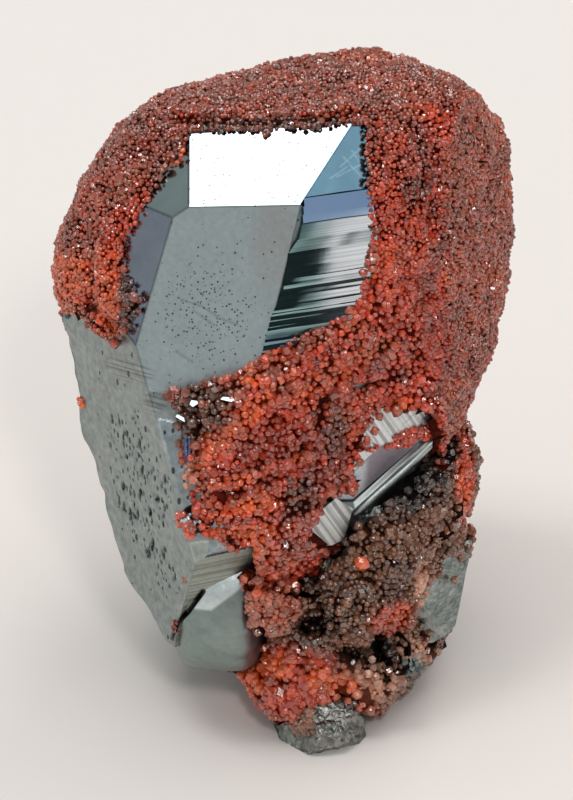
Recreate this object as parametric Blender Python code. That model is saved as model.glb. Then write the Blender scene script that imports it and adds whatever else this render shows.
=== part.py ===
"""A hematite specimen with andradite garnet, about 29 mm wide and 40 mm high.

One blocky hematite crystal stands on a broken hematite base. A crust of small red garnets
wraps the crystal, open at the front, at the lower left and round a striated bar at the lower
right, and a lumpy brown and orange druse of garnets covers the base.

Points are written in millimetres, with X to the right, Y to the back and Z up, and the
meshes are in metres. The origin lies in the flat cut that the specimen stands on.
"""

import math
import random

import bmesh
import bpy
from mathutils import Matrix, Vector, noise

MM = 0.001
SEED = 23

# Driving dimensions, in millimetres.
CRYSTAL_CENTRE = Vector((0.0, 3.5, 24.0))
CRUST = 1.0  # garnet crust, from the hematite to the tips of the grains
GAP = 0.3  # clearance between the two minerals
CRUST_LUMP = 2.4  # spacing of the lumps of the crust
CRUST_RELIEF = 0.45  # height of those lumps
DRUSE_LUMP = 1.9
DRUSE_RELIEF = 0.5
DRUSE_FOOT = 0.35  # the garnets stop this far above the flat cut
CRUST_FOOT = 13.0  # lower edge of the crust behind
CRUST_FOOT_WAVE = 2.2  # how much that edge rises and falls
CRUST_FOOT_SPACING = 4.0  # from one rise to the next
CRUST_FOOT_FRONT = 3.0  # it runs from here to the back
FOOT_SHEET = 22.0  # half the side of the wavy sheet that cuts the crust off there
FOOT_SHEET_SQUARES = 20
FURROW = 0.6  # share of the lump spacing over which a furrow rises to a lump
SHARPNESS = 34.0  # of the edges under the crust
BLOCK = 70.0  # the block that each crystal is cut from, larger than the specimen
WELD = 2e-6  # metres: points nearer than this are made one
VIEW_DOWN = 35.0  # degrees: outlines of the bare areas are drawn looking down this far

# Faces as (azimuth, elevation, distance from the centre). Azimuth 0 faces the front, 90 the
# right. The first ten are those that are bare at the front.
MAIN_FACES = {
    "front": (-12, 22, 8.6),
    "bright_bevel": (-21.3, 59.4, 12.1),
    "blue_bevel": (30.7, 34.2, 10.3),
    "striated": (27.9, 11.3, 6.9),
    "striated_low": (32.6, 3.6, 7.9),
    "dark_bevel": (-50.9, 48.7, 12.6),
    "left": (-46.8, 24.7, 11.1),
    "lower_left": (-56.3, 1, 11.2),
    "bar": (46.4, -23.2, 11.0),
    "under_front": (19.4, -17.4, 12.1),
    "top": (-150, 76, 13.5),
    "right": (68, 5.8, 9.6),
    "back": (172, 6, 11.4),
    "back_left": (-132, 5, 12.8),
    "back_right": (118, 3.3, 16.0),
    "back_right_low": (107.5, -26.4, 13.7),
    "right_low": (86.3, -41.4, 11.8),
    "upper_right": (93.5, 45.4, 17.4),
    "top_back_right": (135.7, 39.6, 16.8),
    "top_back": (-156, 26, 13.4),
    "top_left": (-118.3, 35.5, 14.7),
    "upper_left": (-105.7, 22.8, 14.2),
    "far_left": (-92.2, 11.2, 13.9),
    "far_right": (95, -2, 14.4),
    "left_edge": (-99.8, -11.7, 13.2),
    "left_edge_low": (-96.8, -20.4, 14.0),
    "left_foot": (-78.6, -39.3, 18.0),
    "under_right": (58, -46.4, 12.8),
    "under_back": (178, -38, 15.5),
    "under": (-60, -70, 20.0),
}

# A notch let into the lower striated face, deepest along the bar: its floor is the dull
# violet face. Upper edge, lower edge (across, up as seen from the front) and depth.
NOTCH_UPPER = ((4.3, 13.4), (9.1, 15.7))
NOTCH_LOWER = ((4.2, 10.5), (9.0, 14.7))
NOTCH_DEPTH = 0.6

# The base: a rough block, a plate that is bare on the right, and the tip.
BASE_CENTRE = Vector((3.2, 2.6, 8.5))
BASE_FACES = {
    "front": (-8, 12, 6.3),
    "front_left": (-52, -8, 7.2),
    "left": (-96, 4, 8.6),
    "left_back": (-142, -6, 9.3),
    "back": (176, -10, 8.6),
    "back_right": (138, 6, 8.6),
    "right": (86, 10, 6.4),
    "right_front": (40, 4, 6.4),
    "right_foot": (70, -45, 8.6),
    "back_foot": (170, -52, 12.4),
    "left_foot": (-98, -46, 12.2),
    "top": (0, 88, 8.0),
}
BASE_SHARPNESS = 22.0
BASE_LUMP = 3.4  # spacing and height of the broken surface
BASE_RELIEF = 0.8
PLATE_CENTRE = Vector((8.3, 0.1, 6.9))
PLATE_FACES = {
    "face": (46, 22, 2.3),
    "edge": (88, -14, 2.9),
    "lower_edge": (66, -50, 3.6),
    "upper_edge": (60, 66, 1.9),
    "front": (-8, -4, 2.9),
    "back": (172, 0, 2.0),
    "left": (-90, 0, 3.0),
}
TIP_CENTRE = Vector((2.5, -5.9, 1.6))
TIP_FACES = {
    "top": (14, 58, 1.6),
    "nose": (8, 6, 3.1),
    "nose_left": (-42, 16, 2.6),
    "nose_right": (58, 14, 2.3),
    "left": (-76, 20, 2.5),
    "right": (96, 10, 2.0),
    "back": (180, 0, 4.0),
    "under_nose": (20, -40, 3.0),
}

# The broken lower end of the large crystal: a bulge with soft edges.
BREAK_CENTRE = Vector((-4.1, -5.2, 8.6))
BREAK_FACES = {
    "top": (-12, 52, 4.4),
    "front": (-5, 10, 3.2),
    "left": (-80, 0, 2.75),
    "right": (75, 0, 2.6),
    "low_front": (-10, -38, 3.7),
    "bottom": (0, -90, 4.7),
    "back": (180, 0, 3.0),
}
BREAK_SHARPNESS = 6.0
BREAK_LUMP = 3.0
BREAK_RELIEF = 0.3

# Thin growth layers that end in a step on the front and left faces: face, middle (across, up
# as seen from the front), half length, half height, height of the step, and the angle of
# the side that rises, in degrees from the right.
LEDGES = (
    ("lower_left", -10.6, 18.3, 2.3, 1.5, 0.40, 250),
    ("lower_left", -9.5, 15.6, 1.9, 2.2, 0.45, 20),
    ("lower_left", -10.5, 13.0, 1.2, 2.4, 0.40, 200),
    ("lower_left", -8.0, 12.0, 1.2, 2.4, 0.40, 330),
    ("lower_left", -9.6, 8.0, 1.2, 2.6, 0.45, 190),
    ("lower_left", -8.2, 5.4, 1.3, 2.2, 0.40, 350),
    ("left", -11.7, 20.7, 1.1, 0.7, 0.25, 270),
    ("front", -6.5, 14.2, 0.7, 1.6, 0.35, 0),
    ("front", -5.7, 10.6, 1.1, 1.5, 0.45, 30),
)
LEDGE_SIDES = 7
LEDGE_SUNK = 1.0  # depth of a layer's underside in the crystal
LEDGE_FLARE = 1.1  # the underside is this much wider
LEDGE_MIDDLE = 0.3  # share of the step by which a layer's middle stands out
LEDGE_TILT = 0.7  # share by which its high side is above, and its low side below, the middle

CUTTER_RISE = 1.5  # how far the cutters of the notch and the grooves stand out of a face

GROOVES = 8  # striations across the mirror-bright face
GROOVE_TOP = 27.2  # from here down, as seen from the front
GROOVE_ENDS = (-4.5, 12.0)  # across, past both edges of the face
GROOVE_SLOPE = 0.3  # each rises by this much to both ends of the face
GROOVE_STEP = 1.05
GROOVE_DEPTH = 0.2
GROOVE_ABOVE = 0.7  # the cutter's upper and lower reach, where it is CUTTER_RISE outside
GROOVE_BELOW = 0.3

# Etch pits: face, middle (across, up), spread and number.
PITS = (
    ("front", (-4.6, 20.6), (2.4, 2.2), 30),
    ("lower_left", (-9.7, 14.4), (1.5, 1.3), 24),
    ("lower_left", (-8.3, 11.2), (1.2, 1.4), 18),
    ("lower_left", (-8.4, 7.0), (1.2, 2.4), 24),
)
PIT_SIZE = 0.25  # depth of a middling pit
PIT_MOUTH = 1.6  # half the width of its mouth, in depths
PIT_APART = 4.5  # least distance between two pits, in depths

# Bare hematite as seen from the front, outlines as (across, up).
FRONT_WINDOW = (
    (-6.0, 33.0), (-1.6, 33.1), (-1.3, 32.7), (-0.9, 33.1), (3.8, 33.3), (4.8, 33.1),
    (4.8, 31.0), (5.0, 28.6), (5.3, 26.6), (4.8, 23.9), (4.1, 22.2), (2.9, 21.4),
    (1.3, 20.8), (0.2, 20.0), (-1.5, 19.3), (-2.8, 18.5), (-4.9, 17.9), (-7.4, 17.1),
    (-6.3, 15.3), (-6.0, 12.7), (-5.5, 10.6), (-5.7, 9.4), (-4.9, 8.4), (-3.5, 7.9),
    (-1.8, 7.8), (-1.9, 6.2), (-2.7, 5.4), (-2.6, 3.8), (-1.4, 2.1), (-2.8, -1.0),
    (-9.0, -3.0), (-22.0, 0.0), (-22.0, 23.4), (-14.4, 23.4), (-13.6, 21.9),
    (-12.3, 22.2), (-11.7, 21.2), (-10.3, 20.3), (-9.3, 21.4), (-8.8, 22.8),
    (-10.1, 24.4), (-9.9, 26.3), (-8.4, 28.9), (-7.2, 30.6), (-6.2, 31.4),
)
SIDE_WINDOW = (
    (1.3, 8.2), (1.6, 9.6), (3.0, 9.9), (3.3, 10.8), (4.2, 11.2), (4.2, 12.6),
    (4.5, 13.9), (5.4, 15.7), (6.5, 16.2), (8.3, 16.1), (9.1, 15.6), (9.6, 14.4),
    (9.3, 12.8), (6.4, 9.6), (3.6, 7.2), (2.2, 7.4),
)
WINDOW_NEAR = 30.0  # the windows are cut from this far in front of the origin
WINDOW_BACK = 6.0  # to about this far behind it
WINDOW_RAGGED = 1.3

# Balls whose union is the lumpy mass of the druse: centre and radius.
DRUSE_MIDDLE = Vector((4.2, -0.6, 7.6))
DRUSE_BALLS = (
    (Vector((7.3, 2.3, 13.6)), 5.0),
    (Vector((7.1, 1.0, 8.6)), 4.5),
    (Vector((5.6, -0.6, 4.4)), 4.2),
    (Vector((3.4, -3.4, 8.6)), 4.0),
    (Vector((5.2, -1.6, 11.9)), 4.1),
    (Vector((7.2, -0.4, 13.6)), 3.6),
    (Vector((-0.5, -5.0, 8.3)), 2.3),
    (Vector((-1.2, -6.9, 10.1)), 2.3),
    (Vector((1.0, -4.6, 6.2)), 3.0),
    (Vector((1.2, -5.2, 3.6)), 3.1),
    (Vector((-1.3, -3.8, 3.6)), 2.6),
    (Vector((0.2, -5.9, 2.9)), 2.7),
    (Vector((4.5, -4.4, 3.0)), 3.1),
    (Vector((5.9, -2.8, 2.8)), 2.9),
    (Vector((7.2, -0.9, 3.2)), 2.8),
    (Vector((4.2, 2.6, 8.0)), 7.4),
)

# Dark hollows between the lumps of the druse: centre, half width and half height.
HOLLOWS = (
    (Vector((1.6, -7.0, 9.4)), 0.9, 1.9),
    (Vector((6.0, -5.6, 4.5)), 1.0, 1.6),
    (Vector((9.4, -1.4, 13.0)), 1.0, 1.7),
)
HOLLOW_LUMP = 1.3
HOLLOW_RELIEF = 0.6


def direction(azimuth, elevation):
    """The unit vector of a face, from its azimuth and elevation in degrees."""
    a = math.radians(azimuth)
    e = math.radians(elevation)
    return Vector((math.sin(a) * math.cos(e), -math.cos(a) * math.cos(e), math.sin(e)))


LOOK = direction(180, -VIEW_DOWN)  # the way that the outlines are seen
UP = direction(180, 90 - VIEW_DOWN)
ACROSS = Vector((1, 0, 0))


def seen_point(face, across, up):
    """The point of a main face that is seen this far across and up, from the front."""
    azimuth, elevation, distance = MAIN_FACES[face]
    normal = direction(azimuth, elevation)
    start = ACROSS * across + UP * up
    reach = distance + normal.dot(CRYSTAL_CENTRE - start)
    return start + LOOK * (reach / normal.dot(LOOK))


def object_from(bm, name):
    """A new object of a mesh that is in millimetres."""
    bmesh.ops.recalc_face_normals(bm, faces=bm.faces)
    bm.transform(Matrix.Scale(MM, 4))
    mesh = bpy.data.meshes.new(name)
    bm.to_mesh(mesh)
    bm.free()
    obj = bpy.data.objects.new(name, mesh)
    bpy.context.scene.collection.objects.link(obj)
    return obj


def crystal(name, centre, faces, grow=0.0):
    """A closed crystal: a block cut by the plane of each face, grown outwards by grow."""
    bm = bmesh.new()
    bmesh.ops.create_cube(bm, size=BLOCK)
    bmesh.ops.translate(bm, verts=bm.verts, vec=centre)
    for azimuth, elevation, distance in faces.values():
        normal = direction(azimuth, elevation)
        cut = bmesh.ops.bisect_plane(
            bm,
            geom=bm.verts[:] + bm.edges[:] + bm.faces[:],
            dist=1e-5,
            plane_co=centre + normal * (distance + grow),
            plane_no=normal,
            clear_outer=True,
        )
        rim = [item for item in cut["geom_cut"] if isinstance(item, bmesh.types.BMEdge)]
        if rim:
            bmesh.ops.edgeloop_fill(bm, edges=rim)
    return object_from(bm, name)


def radial(name, centre, detail, radius_of):
    """A closed lumpy body: a ball whose points are moved to radius_of(direction)."""
    bm = bmesh.new()
    bmesh.ops.create_icosphere(bm, subdivisions=detail, radius=1.0)
    for vert in bm.verts:
        way = vert.co.normalized()
        vert.co = centre + way * radius_of(way)
    return object_from(bm, name)


def prism(name, outline, back, ragged, seed):
    """The space seen through an outline: a prism along the line of sight, to a ragged end."""
    chance = random.Random(seed)
    bm = bmesh.new()
    near_ring = []
    far_ring = []
    for across, up in outline:
        spot = ACROSS * across + UP * up
        far = (back + chance.uniform(-ragged, ragged) - spot.y) / LOOK.y
        near_ring.append(bm.verts.new(spot - LOOK * WINDOW_NEAR))
        far_ring.append(bm.verts.new(spot + LOOK * far))
    count = len(outline)
    caps = [bm.faces.new(near_ring), bm.faces.new(reversed(far_ring))]
    for i in range(count):
        j = (i + 1) % count
        bm.faces.new((near_ring[i], far_ring[i], far_ring[j], near_ring[j]))
    bmesh.ops.triangulate(bm, faces=caps)
    return object_from(bm, name)


def space_below(height):
    """The space below a flat cut at this height."""
    bm = bmesh.new()
    bmesh.ops.create_cube(bm, size=BLOCK)
    bmesh.ops.translate(bm, verts=bm.verts, vec=(0, 0, height - BLOCK / 2))
    return object_from(bm, "below")


def below_crust():
    """The space behind and below, where the crust stops at a wavy edge."""
    bm = bmesh.new()
    squares = FOOT_SHEET_SQUARES
    bmesh.ops.create_grid(bm, x_segments=squares, y_segments=squares, size=FOOT_SHEET)
    for vert in bm.verts:
        vert.co.y += CRUST_FOOT_FRONT + FOOT_SHEET
        wave = noise.noise(vert.co / CRUST_FOOT_SPACING) * CRUST_FOOT_WAVE
        vert.co.z = CRUST_FOOT + wave
    sheet = bmesh.ops.extrude_face_region(bm, geom=bm.faces[:])
    moved = [item for item in sheet["geom"] if isinstance(item, bmesh.types.BMVert)]
    for vert in moved:
        vert.co.z = -BLOCK / 2
    return object_from(bm, "below")


def combine(obj, tool, operation):
    """Joins tool to obj, or cuts it away, and removes tool."""
    modifier = obj.modifiers.new(operation.lower(), "BOOLEAN")
    modifier.operation = operation
    modifier.solver = "EXACT"
    modifier.object = tool
    graph = bpy.context.evaluated_depsgraph_get()
    mesh = bpy.data.meshes.new_from_object(obj.evaluated_get(graph))
    obj.modifiers.clear()
    obj.data = mesh
    bpy.data.objects.remove(tool)


def keep_largest(obj):
    """Deletes the crumbs that a cut left, all but the largest body."""
    bm = bmesh.new()
    bm.from_mesh(obj.data)
    bmesh.ops.remove_doubles(bm, verts=bm.verts, dist=WELD)
    bmesh.ops.dissolve_degenerate(bm, edges=bm.edges, dist=WELD)
    left = set(bm.verts)
    bodies = []
    while left:
        stack = [left.pop()]
        body = set(stack)
        while stack:
            for edge in stack.pop().link_edges:
                for vert in edge.verts:
                    if vert in left:
                        left.discard(vert)
                        body.add(vert)
                        stack.append(vert)
        bodies.append(body)
    largest = max(bodies, key=len)
    crumbs = [vert for vert in bm.verts if vert not in largest]
    bmesh.ops.delete(bm, geom=crumbs, context="VERTS")
    bmesh.ops.triangulate(bm, faces=bm.faces)
    bm.to_mesh(obj.data)
    bm.free()


def lumps(point, spacing, height):
    """Rounded lumps with furrows between them, from the distance to scattered middles."""
    near = noise.voronoi(point / spacing)[0]
    return height * (min(near[1] - near[0], FURROW) / FURROW - 0.5)


def rounded_reach(way, faces, grow, sharpness):
    """Distance from the centre of a crystal to its faces, with the edges rounded."""
    total = 0.0
    for azimuth, elevation, distance in faces.values():
        facing = direction(azimuth, elevation).dot(way)
        if facing > 0:
            total += (facing / (distance + grow)) ** sharpness
    return total ** (-1 / sharpness)


def base_radius(way):
    """The rough broken block of the base."""
    reach = rounded_reach(way, BASE_FACES, 0.0, BASE_SHARPNESS)
    return reach + lumps(BASE_CENTRE + way * reach, BASE_LUMP, BASE_RELIEF)


def crust_radius(way):
    """Outer surface of the crust: the crystal, one crust thicker, and lumpy."""
    reach = rounded_reach(way, MAIN_FACES, CRUST, SHARPNESS)
    return reach + lumps(CRYSTAL_CENTRE + way * reach, CRUST_LUMP, CRUST_RELIEF)


def druse_radius(way):
    """Outer surface of the druse: the furthest ball along this way, and lumpy."""
    reach = 0.0
    for centre, radius in DRUSE_BALLS:
        offset = centre - DRUSE_MIDDLE
        along = offset.dot(way)
        inside = along * along - offset.length_squared + radius * radius
        if inside > 0:
            reach = max(reach, along + math.sqrt(inside))
    return reach + lumps(DRUSE_MIDDLE + way * reach, DRUSE_LUMP, DRUSE_RELIEF)


def break_radius(way):
    """The bulge of the conchoidal break, with shallow shells across it."""
    reach = rounded_reach(way, BREAK_FACES, 0.0, BREAK_SHARPNESS)
    return reach + lumps(way * reach, BREAK_LUMP, BREAK_RELIEF)


def hollow_radius(width, height):
    """The reach of a rough hollow that is taller than it is wide."""

    def reach_of(way):
        reach = 1 / math.hypot(way.x / width, way.y / width, way.z / height)
        return reach + lumps(way * reach, HOLLOW_LUMP, HOLLOW_RELIEF)

    return reach_of


def ledge(face, across, up, length, height, step, angle, grow):
    """A thin layer on a face, sunk into it on one side and standing out on the other."""
    normal = direction(*MAIN_FACES[face][:2])
    middle = seen_point(face, across, up)
    side = normal.cross(Vector((0, 0, 1))).normalized() * -1
    rise = normal.cross(side)
    chance = random.Random(across + up)
    bm = bmesh.new()
    outer = []
    inner = []
    for i in range(LEDGE_SIDES):
        turn = math.tau * (i + chance.uniform(-0.3, 0.3)) / LEDGE_SIDES
        lift = LEDGE_MIDDLE + LEDGE_TILT * math.cos(turn - math.radians(angle))
        spot = side * math.cos(turn) * (length + grow) + rise * math.sin(turn) * (height + grow)
        outer.append(bm.verts.new(middle + spot + normal * (step * lift + grow)))
        inner.append(bm.verts.new(middle + spot * LEDGE_FLARE - normal * LEDGE_SUNK))
    bm.faces.new(outer)
    bm.faces.new(reversed(inner))
    for i in range(LEDGE_SIDES):
        j = (i + 1) % LEDGE_SIDES
        bm.faces.new((outer[i], inner[i], inner[j], outer[j]))
    bmesh.ops.triangulate(bm, faces=bm.faces)
    return object_from(bm, "ledge")


def notch():
    """The wedge of space that the notch takes out of the lower striated face."""
    normal = direction(*MAIN_FACES["striated_low"][:2])
    bm = bmesh.new()
    for above, below in zip(NOTCH_UPPER, NOTCH_LOWER):
        top = seen_point("striated_low", *above)
        foot = seen_point("striated_low", *below)
        for spot in (top, top + normal * CUTTER_RISE, foot + normal * CUTTER_RISE):
            bm.verts.new(spot)
        bm.verts.new(foot - normal * NOTCH_DEPTH)
    bmesh.ops.convex_hull(bm, input=bm.verts)
    return object_from(bm, "notch")


def groove(up):
    """A long V cut across the striated face, at this height as seen from the front."""
    normal = direction(*MAIN_FACES["striated"][:2])
    left = seen_point("striated", GROOVE_ENDS[0], up - GROOVE_SLOPE)
    right = seen_point("striated", GROOVE_ENDS[1], up + GROOVE_SLOPE)
    rise = normal.cross(right - left).normalized()
    bm = bmesh.new()
    rings = []
    for end in (left, right):
        outside = end + normal * CUTTER_RISE
        bottom = end - normal * GROOVE_DEPTH
        ring = (outside + rise * GROOVE_ABOVE, outside - rise * GROOVE_BELOW, bottom)
        rings.append([bm.verts.new(spot) for spot in ring])
    bm.faces.new(rings[0])
    bm.faces.new(reversed(rings[1]))
    for i in range(3):
        j = (i + 1) % 3
        bm.faces.new((rings[0][i], rings[1][i], rings[1][j], rings[0][j]))
    return object_from(bm, "groove")


def pits():
    """All etch pits as one cutter: three-sided points let into the faces, none touching."""
    chance = random.Random(SEED)
    bm = bmesh.new()
    made = []
    for face, middle, spread, number in PITS:
        normal = direction(*MAIN_FACES[face][:2])
        side = normal.cross(Vector((0, 0, 1))).normalized()
        rise = side.cross(normal)
        for _ in range(number):
            across = chance.gauss(middle[0], spread[0] / 2)
            up = chance.gauss(middle[1], spread[1] / 2)
            spot = seen_point(face, across, up)
            size = PIT_SIZE * chance.uniform(0.7, 1.4)
            if any((spot - other).length < PIT_SIZE * PIT_APART for other in made):
                continue
            made.append(spot)
            turn = chance.uniform(0, 0.5)
            mouth = []
            for k in range(3):
                angle = turn + k * math.tau / 3
                ray = side * math.cos(angle) + rise * math.sin(angle)
                mouth.append(bm.verts.new(spot + (ray * PIT_MOUTH + normal) * size))
            bottom = bm.verts.new(spot - normal * size)
            bm.faces.new(mouth)
            for k in range(3):
                bm.faces.new((mouth[k], bottom, mouth[(k + 1) % 3]))
    return object_from(bm, "pits")


def bare_hematite(grow):
    """The hematite before its grooves and pits, grown outwards by grow."""
    body = crystal("hematite", CRYSTAL_CENTRE, MAIN_FACES, grow)
    base = radial("base", BASE_CENTRE, 4, lambda way: base_radius(way) + grow)
    combine(body, base, "UNION")
    combine(body, crystal("plate", PLATE_CENTRE, PLATE_FACES, grow), "UNION")
    combine(body, crystal("tip", TIP_CENTRE, TIP_FACES, grow), "UNION")
    bulge = radial("bulge", BREAK_CENTRE, 3, lambda way: break_radius(way) + grow)
    combine(body, bulge, "UNION")
    for each in LEDGES:
        combine(body, ledge(*each, grow), "UNION")
    return body


def make_hematite():
    """The crystals, the base and the break as one solid, with its grooves and pits."""
    body = bare_hematite(0.0)
    for i in range(GROOVES):
        combine(body, groove(GROOVE_TOP - GROOVE_STEP * i), "DIFFERENCE")
    combine(body, notch(), "DIFFERENCE")
    combine(body, pits(), "DIFFERENCE")
    combine(body, space_below(0.0), "DIFFERENCE")
    keep_largest(body)
    return body


def make_crust():
    """The garnet crust: one lumpy shell round the large crystal, open at the windows."""
    crust = radial("garnet_crust", CRYSTAL_CENTRE, 5, crust_radius)
    combine(crust, bare_hematite(GAP), "DIFFERENCE")
    front = prism("window", FRONT_WINDOW, WINDOW_BACK, WINDOW_RAGGED, SEED)
    combine(crust, front, "DIFFERENCE")
    side = prism("window", SIDE_WINDOW, WINDOW_BACK, 0.0, SEED)
    combine(crust, side, "DIFFERENCE")
    combine(crust, below_crust(), "DIFFERENCE")
    keep_largest(crust)
    return crust


def make_druse():
    """The garnet druse: a lumpy mass over the front and sides of the base."""
    druse = radial("garnet_druse", DRUSE_MIDDLE, 4, druse_radius)
    combine(druse, bare_hematite(GAP), "DIFFERENCE")
    shell = radial("shell", CRYSTAL_CENTRE, 5, lambda way: crust_radius(way) + GAP)
    combine(druse, shell, "DIFFERENCE")
    for centre, width, height in HOLLOWS:
        hollow = radial("hollow", centre, 3, hollow_radius(width, height))
        combine(druse, hollow, "DIFFERENCE")
    combine(druse, space_below(DRUSE_FOOT), "DIFFERENCE")
    keep_largest(druse)
    return druse


def finish(obj, name, colour, metallic, roughness):
    """Gives a finished body its node name and its material."""
    material = bpy.data.materials.new(name)
    material.use_nodes = True
    shader = material.node_tree.nodes["Principled BSDF"]
    shader.inputs["Base Color"].default_value = (*colour, 1.0)
    shader.inputs["Metallic"].default_value = metallic
    shader.inputs["Roughness"].default_value = roughness
    obj.data.materials.clear()
    obj.data.materials.append(material)
    obj.name = name


for old in list(bpy.data.objects):
    bpy.data.objects.remove(old)

finish(make_hematite(), "hematite", (0.19, 0.20, 0.21), 1.0, 0.28)
finish(make_crust(), "garnet_crust", (0.23, 0.045, 0.025), 0.0, 0.35)
finish(make_druse(), "garnet_druse", (0.11, 0.045, 0.03), 0.0, 0.4)
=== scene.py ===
# %% [markdown]
# # A hematite crystal with a crust of andradite garnet
#
# The real object is one natural specimen, about 29 mm wide and 40 mm high. A blocky, dark grey
# hematite crystal stands on a broken base, and thousands of red garnets, each about a third of a
# millimetre wide, coat it like sugar. Some crystal faces are bare: one is a mirror, one is
# etched dull and pitted, one is striated.
#
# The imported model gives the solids. Here each mineral gets its real surface: crystal faces with
# etch pits and striations, a shell-like break, and garnets as real little crystals.

import bpy
import numpy as np
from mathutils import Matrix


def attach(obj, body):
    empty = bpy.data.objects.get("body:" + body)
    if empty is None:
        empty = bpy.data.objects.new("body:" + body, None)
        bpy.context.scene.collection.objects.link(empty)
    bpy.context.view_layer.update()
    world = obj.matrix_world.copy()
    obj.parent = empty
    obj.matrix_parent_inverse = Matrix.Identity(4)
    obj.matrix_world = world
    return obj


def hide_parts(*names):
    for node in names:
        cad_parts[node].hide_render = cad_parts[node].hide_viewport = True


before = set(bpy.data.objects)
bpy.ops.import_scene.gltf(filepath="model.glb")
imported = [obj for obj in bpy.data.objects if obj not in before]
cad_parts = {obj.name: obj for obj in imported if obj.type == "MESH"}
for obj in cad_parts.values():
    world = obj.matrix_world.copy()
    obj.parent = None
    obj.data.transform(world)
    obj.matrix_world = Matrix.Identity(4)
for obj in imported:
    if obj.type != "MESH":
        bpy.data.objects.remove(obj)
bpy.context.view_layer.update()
MM = 0.001  # the scene is in metres, and all lengths below are in millimetres
print("nodes:", sorted(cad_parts))

# %% [markdown]
# ## Colours and directions
#
# A colour is given as an sRGB hex value, but the shader works with linear light, so one function
# converts it. A direction is easiest to think of as an azimuth round the object, with 0 to the front
# and 90 to the right, and an elevation above the horizon.

# %% Colours and directions
CHANCE = np.random.default_rng(23)  # every random draw comes from here, in the same order


def linear(code):
    """An sRGB hex colour as linear red, green, blue: c / 12.92 up to 0.04045, and
    ((c + 0.055) / 1.055) to the power 2.4 above it."""
    channels = np.array([int(code[i : i + 2], 16) for i in (0, 2, 4)]) / 255
    return np.where(channels <= 0.04045, channels / 12.92, ((channels + 0.055) / 1.055) ** 2.4)


def direction(azimuth, elevation):
    """Unit vector: (sin a cos e, -cos a cos e, sin e)."""
    a, e = np.radians(azimuth), np.radians(elevation)
    return np.stack([np.sin(a) * np.cos(e), -np.cos(a) * np.cos(e), np.sin(e)], axis=-1)


# %% [markdown]
# ## The camera
#
# The picture looks 35 degrees down on the front from 36 cm away, through a long lens, so near
# and far parts show almost the same size. Places on the surface are easy to name the way that
# they are seen: how far across, and how far up at right angles to the line of sight.

# %% The camera
VIEW_DOWN = 35.0
AIM = np.array([0.0, -2.0, 21.8])
DISTANCE = 360.0
LENS = 267.3  # with a 36 mm sensor on the long side, 16.5 pixels to the millimetre

LOOK = direction(180, -VIEW_DOWN)
UP = direction(180, 90 - VIEW_DOWN)


def seen(points):
    """How far across and up points are seen: their x, and their component along UP."""
    return points[..., 0], points @ UP


camera = bpy.data.objects.new("camera", bpy.data.cameras.new("camera"))
camera.data.lens = LENS
camera.data.clip_start = 0.01
camera.location = (AIM - LOOK * DISTANCE) * MM
camera.rotation_euler = (np.radians(90 - VIEW_DOWN), 0, 0)
bpy.context.scene.collection.objects.link(camera)
bpy.context.scene.camera = camera
print("camera at", [round(c, 4) for c in camera.location])

# %% [markdown]
# ## Natural irregularity
#
# Rock is irregular at every scale. Three small functions supply that. The first gives every
# cell of a lattice its own number, always the same one, by mixing the bits of its coordinates.
# The second blends such numbers into soft hills. The third scatters one point in every cell and
# measures how near the closest two are, which gives lumps with furrows between them, and pits.

# %% Noise
def random_at(cells, seed):
    """A number from 0 to 1 for each cell: its coordinates times large primes, bits mixed."""
    x, y, z = np.moveaxis(np.asarray(cells).astype(np.int64), -1, 0)
    mixed = (x * 73856093) ^ (y * 19349663) ^ (z * 83492791) ^ (seed * 2654435761 + 97)
    mixed = (mixed ^ (mixed >> 13)) * 1274126177
    mixed = (mixed ^ (mixed >> 16)) * 668265263
    return ((mixed ^ (mixed >> 15)) & 0xFFFFFF) / 0xFFFFFF


def hills(points, size, seed):
    """From -1 to 1: the numbers at a cell's eight corners, blended by 3t^2 - 2t^3."""
    scaled = points / size
    cell = np.floor(scaled)
    t = scaled - cell
    t = t * t * (3 - 2 * t)
    total = 0.0
    for corner in np.ndindex(2, 2, 2):
        weight = np.prod(np.where(corner, t, 1 - t), axis=-1)
        total = total + weight * random_at(cell + corner, seed)
    return 2 * total - 1


def rough(points, size, seed, layers=3):
    """Hills, with ever finer hills on them: each layer half the size and half the height."""
    return sum(hills(points, size / 2**k, seed + k) / 2**k for k in range(layers)) / 1.5


def scattered(points, spacing, seed):
    """Distance to the nearest and to the second nearest of points scattered one to a cell,
    and a number from 0 to 1 that belongs to the nearest."""
    scaled = points / spacing
    cell = np.floor(scaled)
    nearest = np.full(points.shape[:-1], np.inf)
    second = nearest.copy()
    own = np.zeros(points.shape[:-1])
    for step in np.ndindex(3, 3, 3):
        corner = cell + step - 1
        spot = corner + np.stack([random_at(corner, seed + k) for k in range(3)], axis=-1)
        distance = np.linalg.norm(scaled - spot, axis=-1)
        second = np.minimum(second, np.maximum(nearest, distance))
        own = np.where(distance < nearest, random_at(corner, seed + 3), own)
        nearest = np.minimum(nearest, distance)
    return nearest * spacing, second * spacing, own


def ramp(values, low, high):
    """0 below low, 1 above high, and 3t^2 - 2t^3 between them. High may be the lower one."""
    t = np.clip((values - low) / (high - low), 0, 1)
    return t * t * (3 - 2 * t)


print("hills:", np.round(hills(np.array([[0.2, 0.5, 0.9], [3.1, 4.2, 5.3]]), 1.0, 1), 2))

# %% [markdown]
# Some things are in one place only: a dark hollow, a patch of orange garnets, a facet of its own.
# They are named by where they are seen. An ellipse with a soft edge is enough for most, and a
# facet needs a straight-sided outline.

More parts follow.
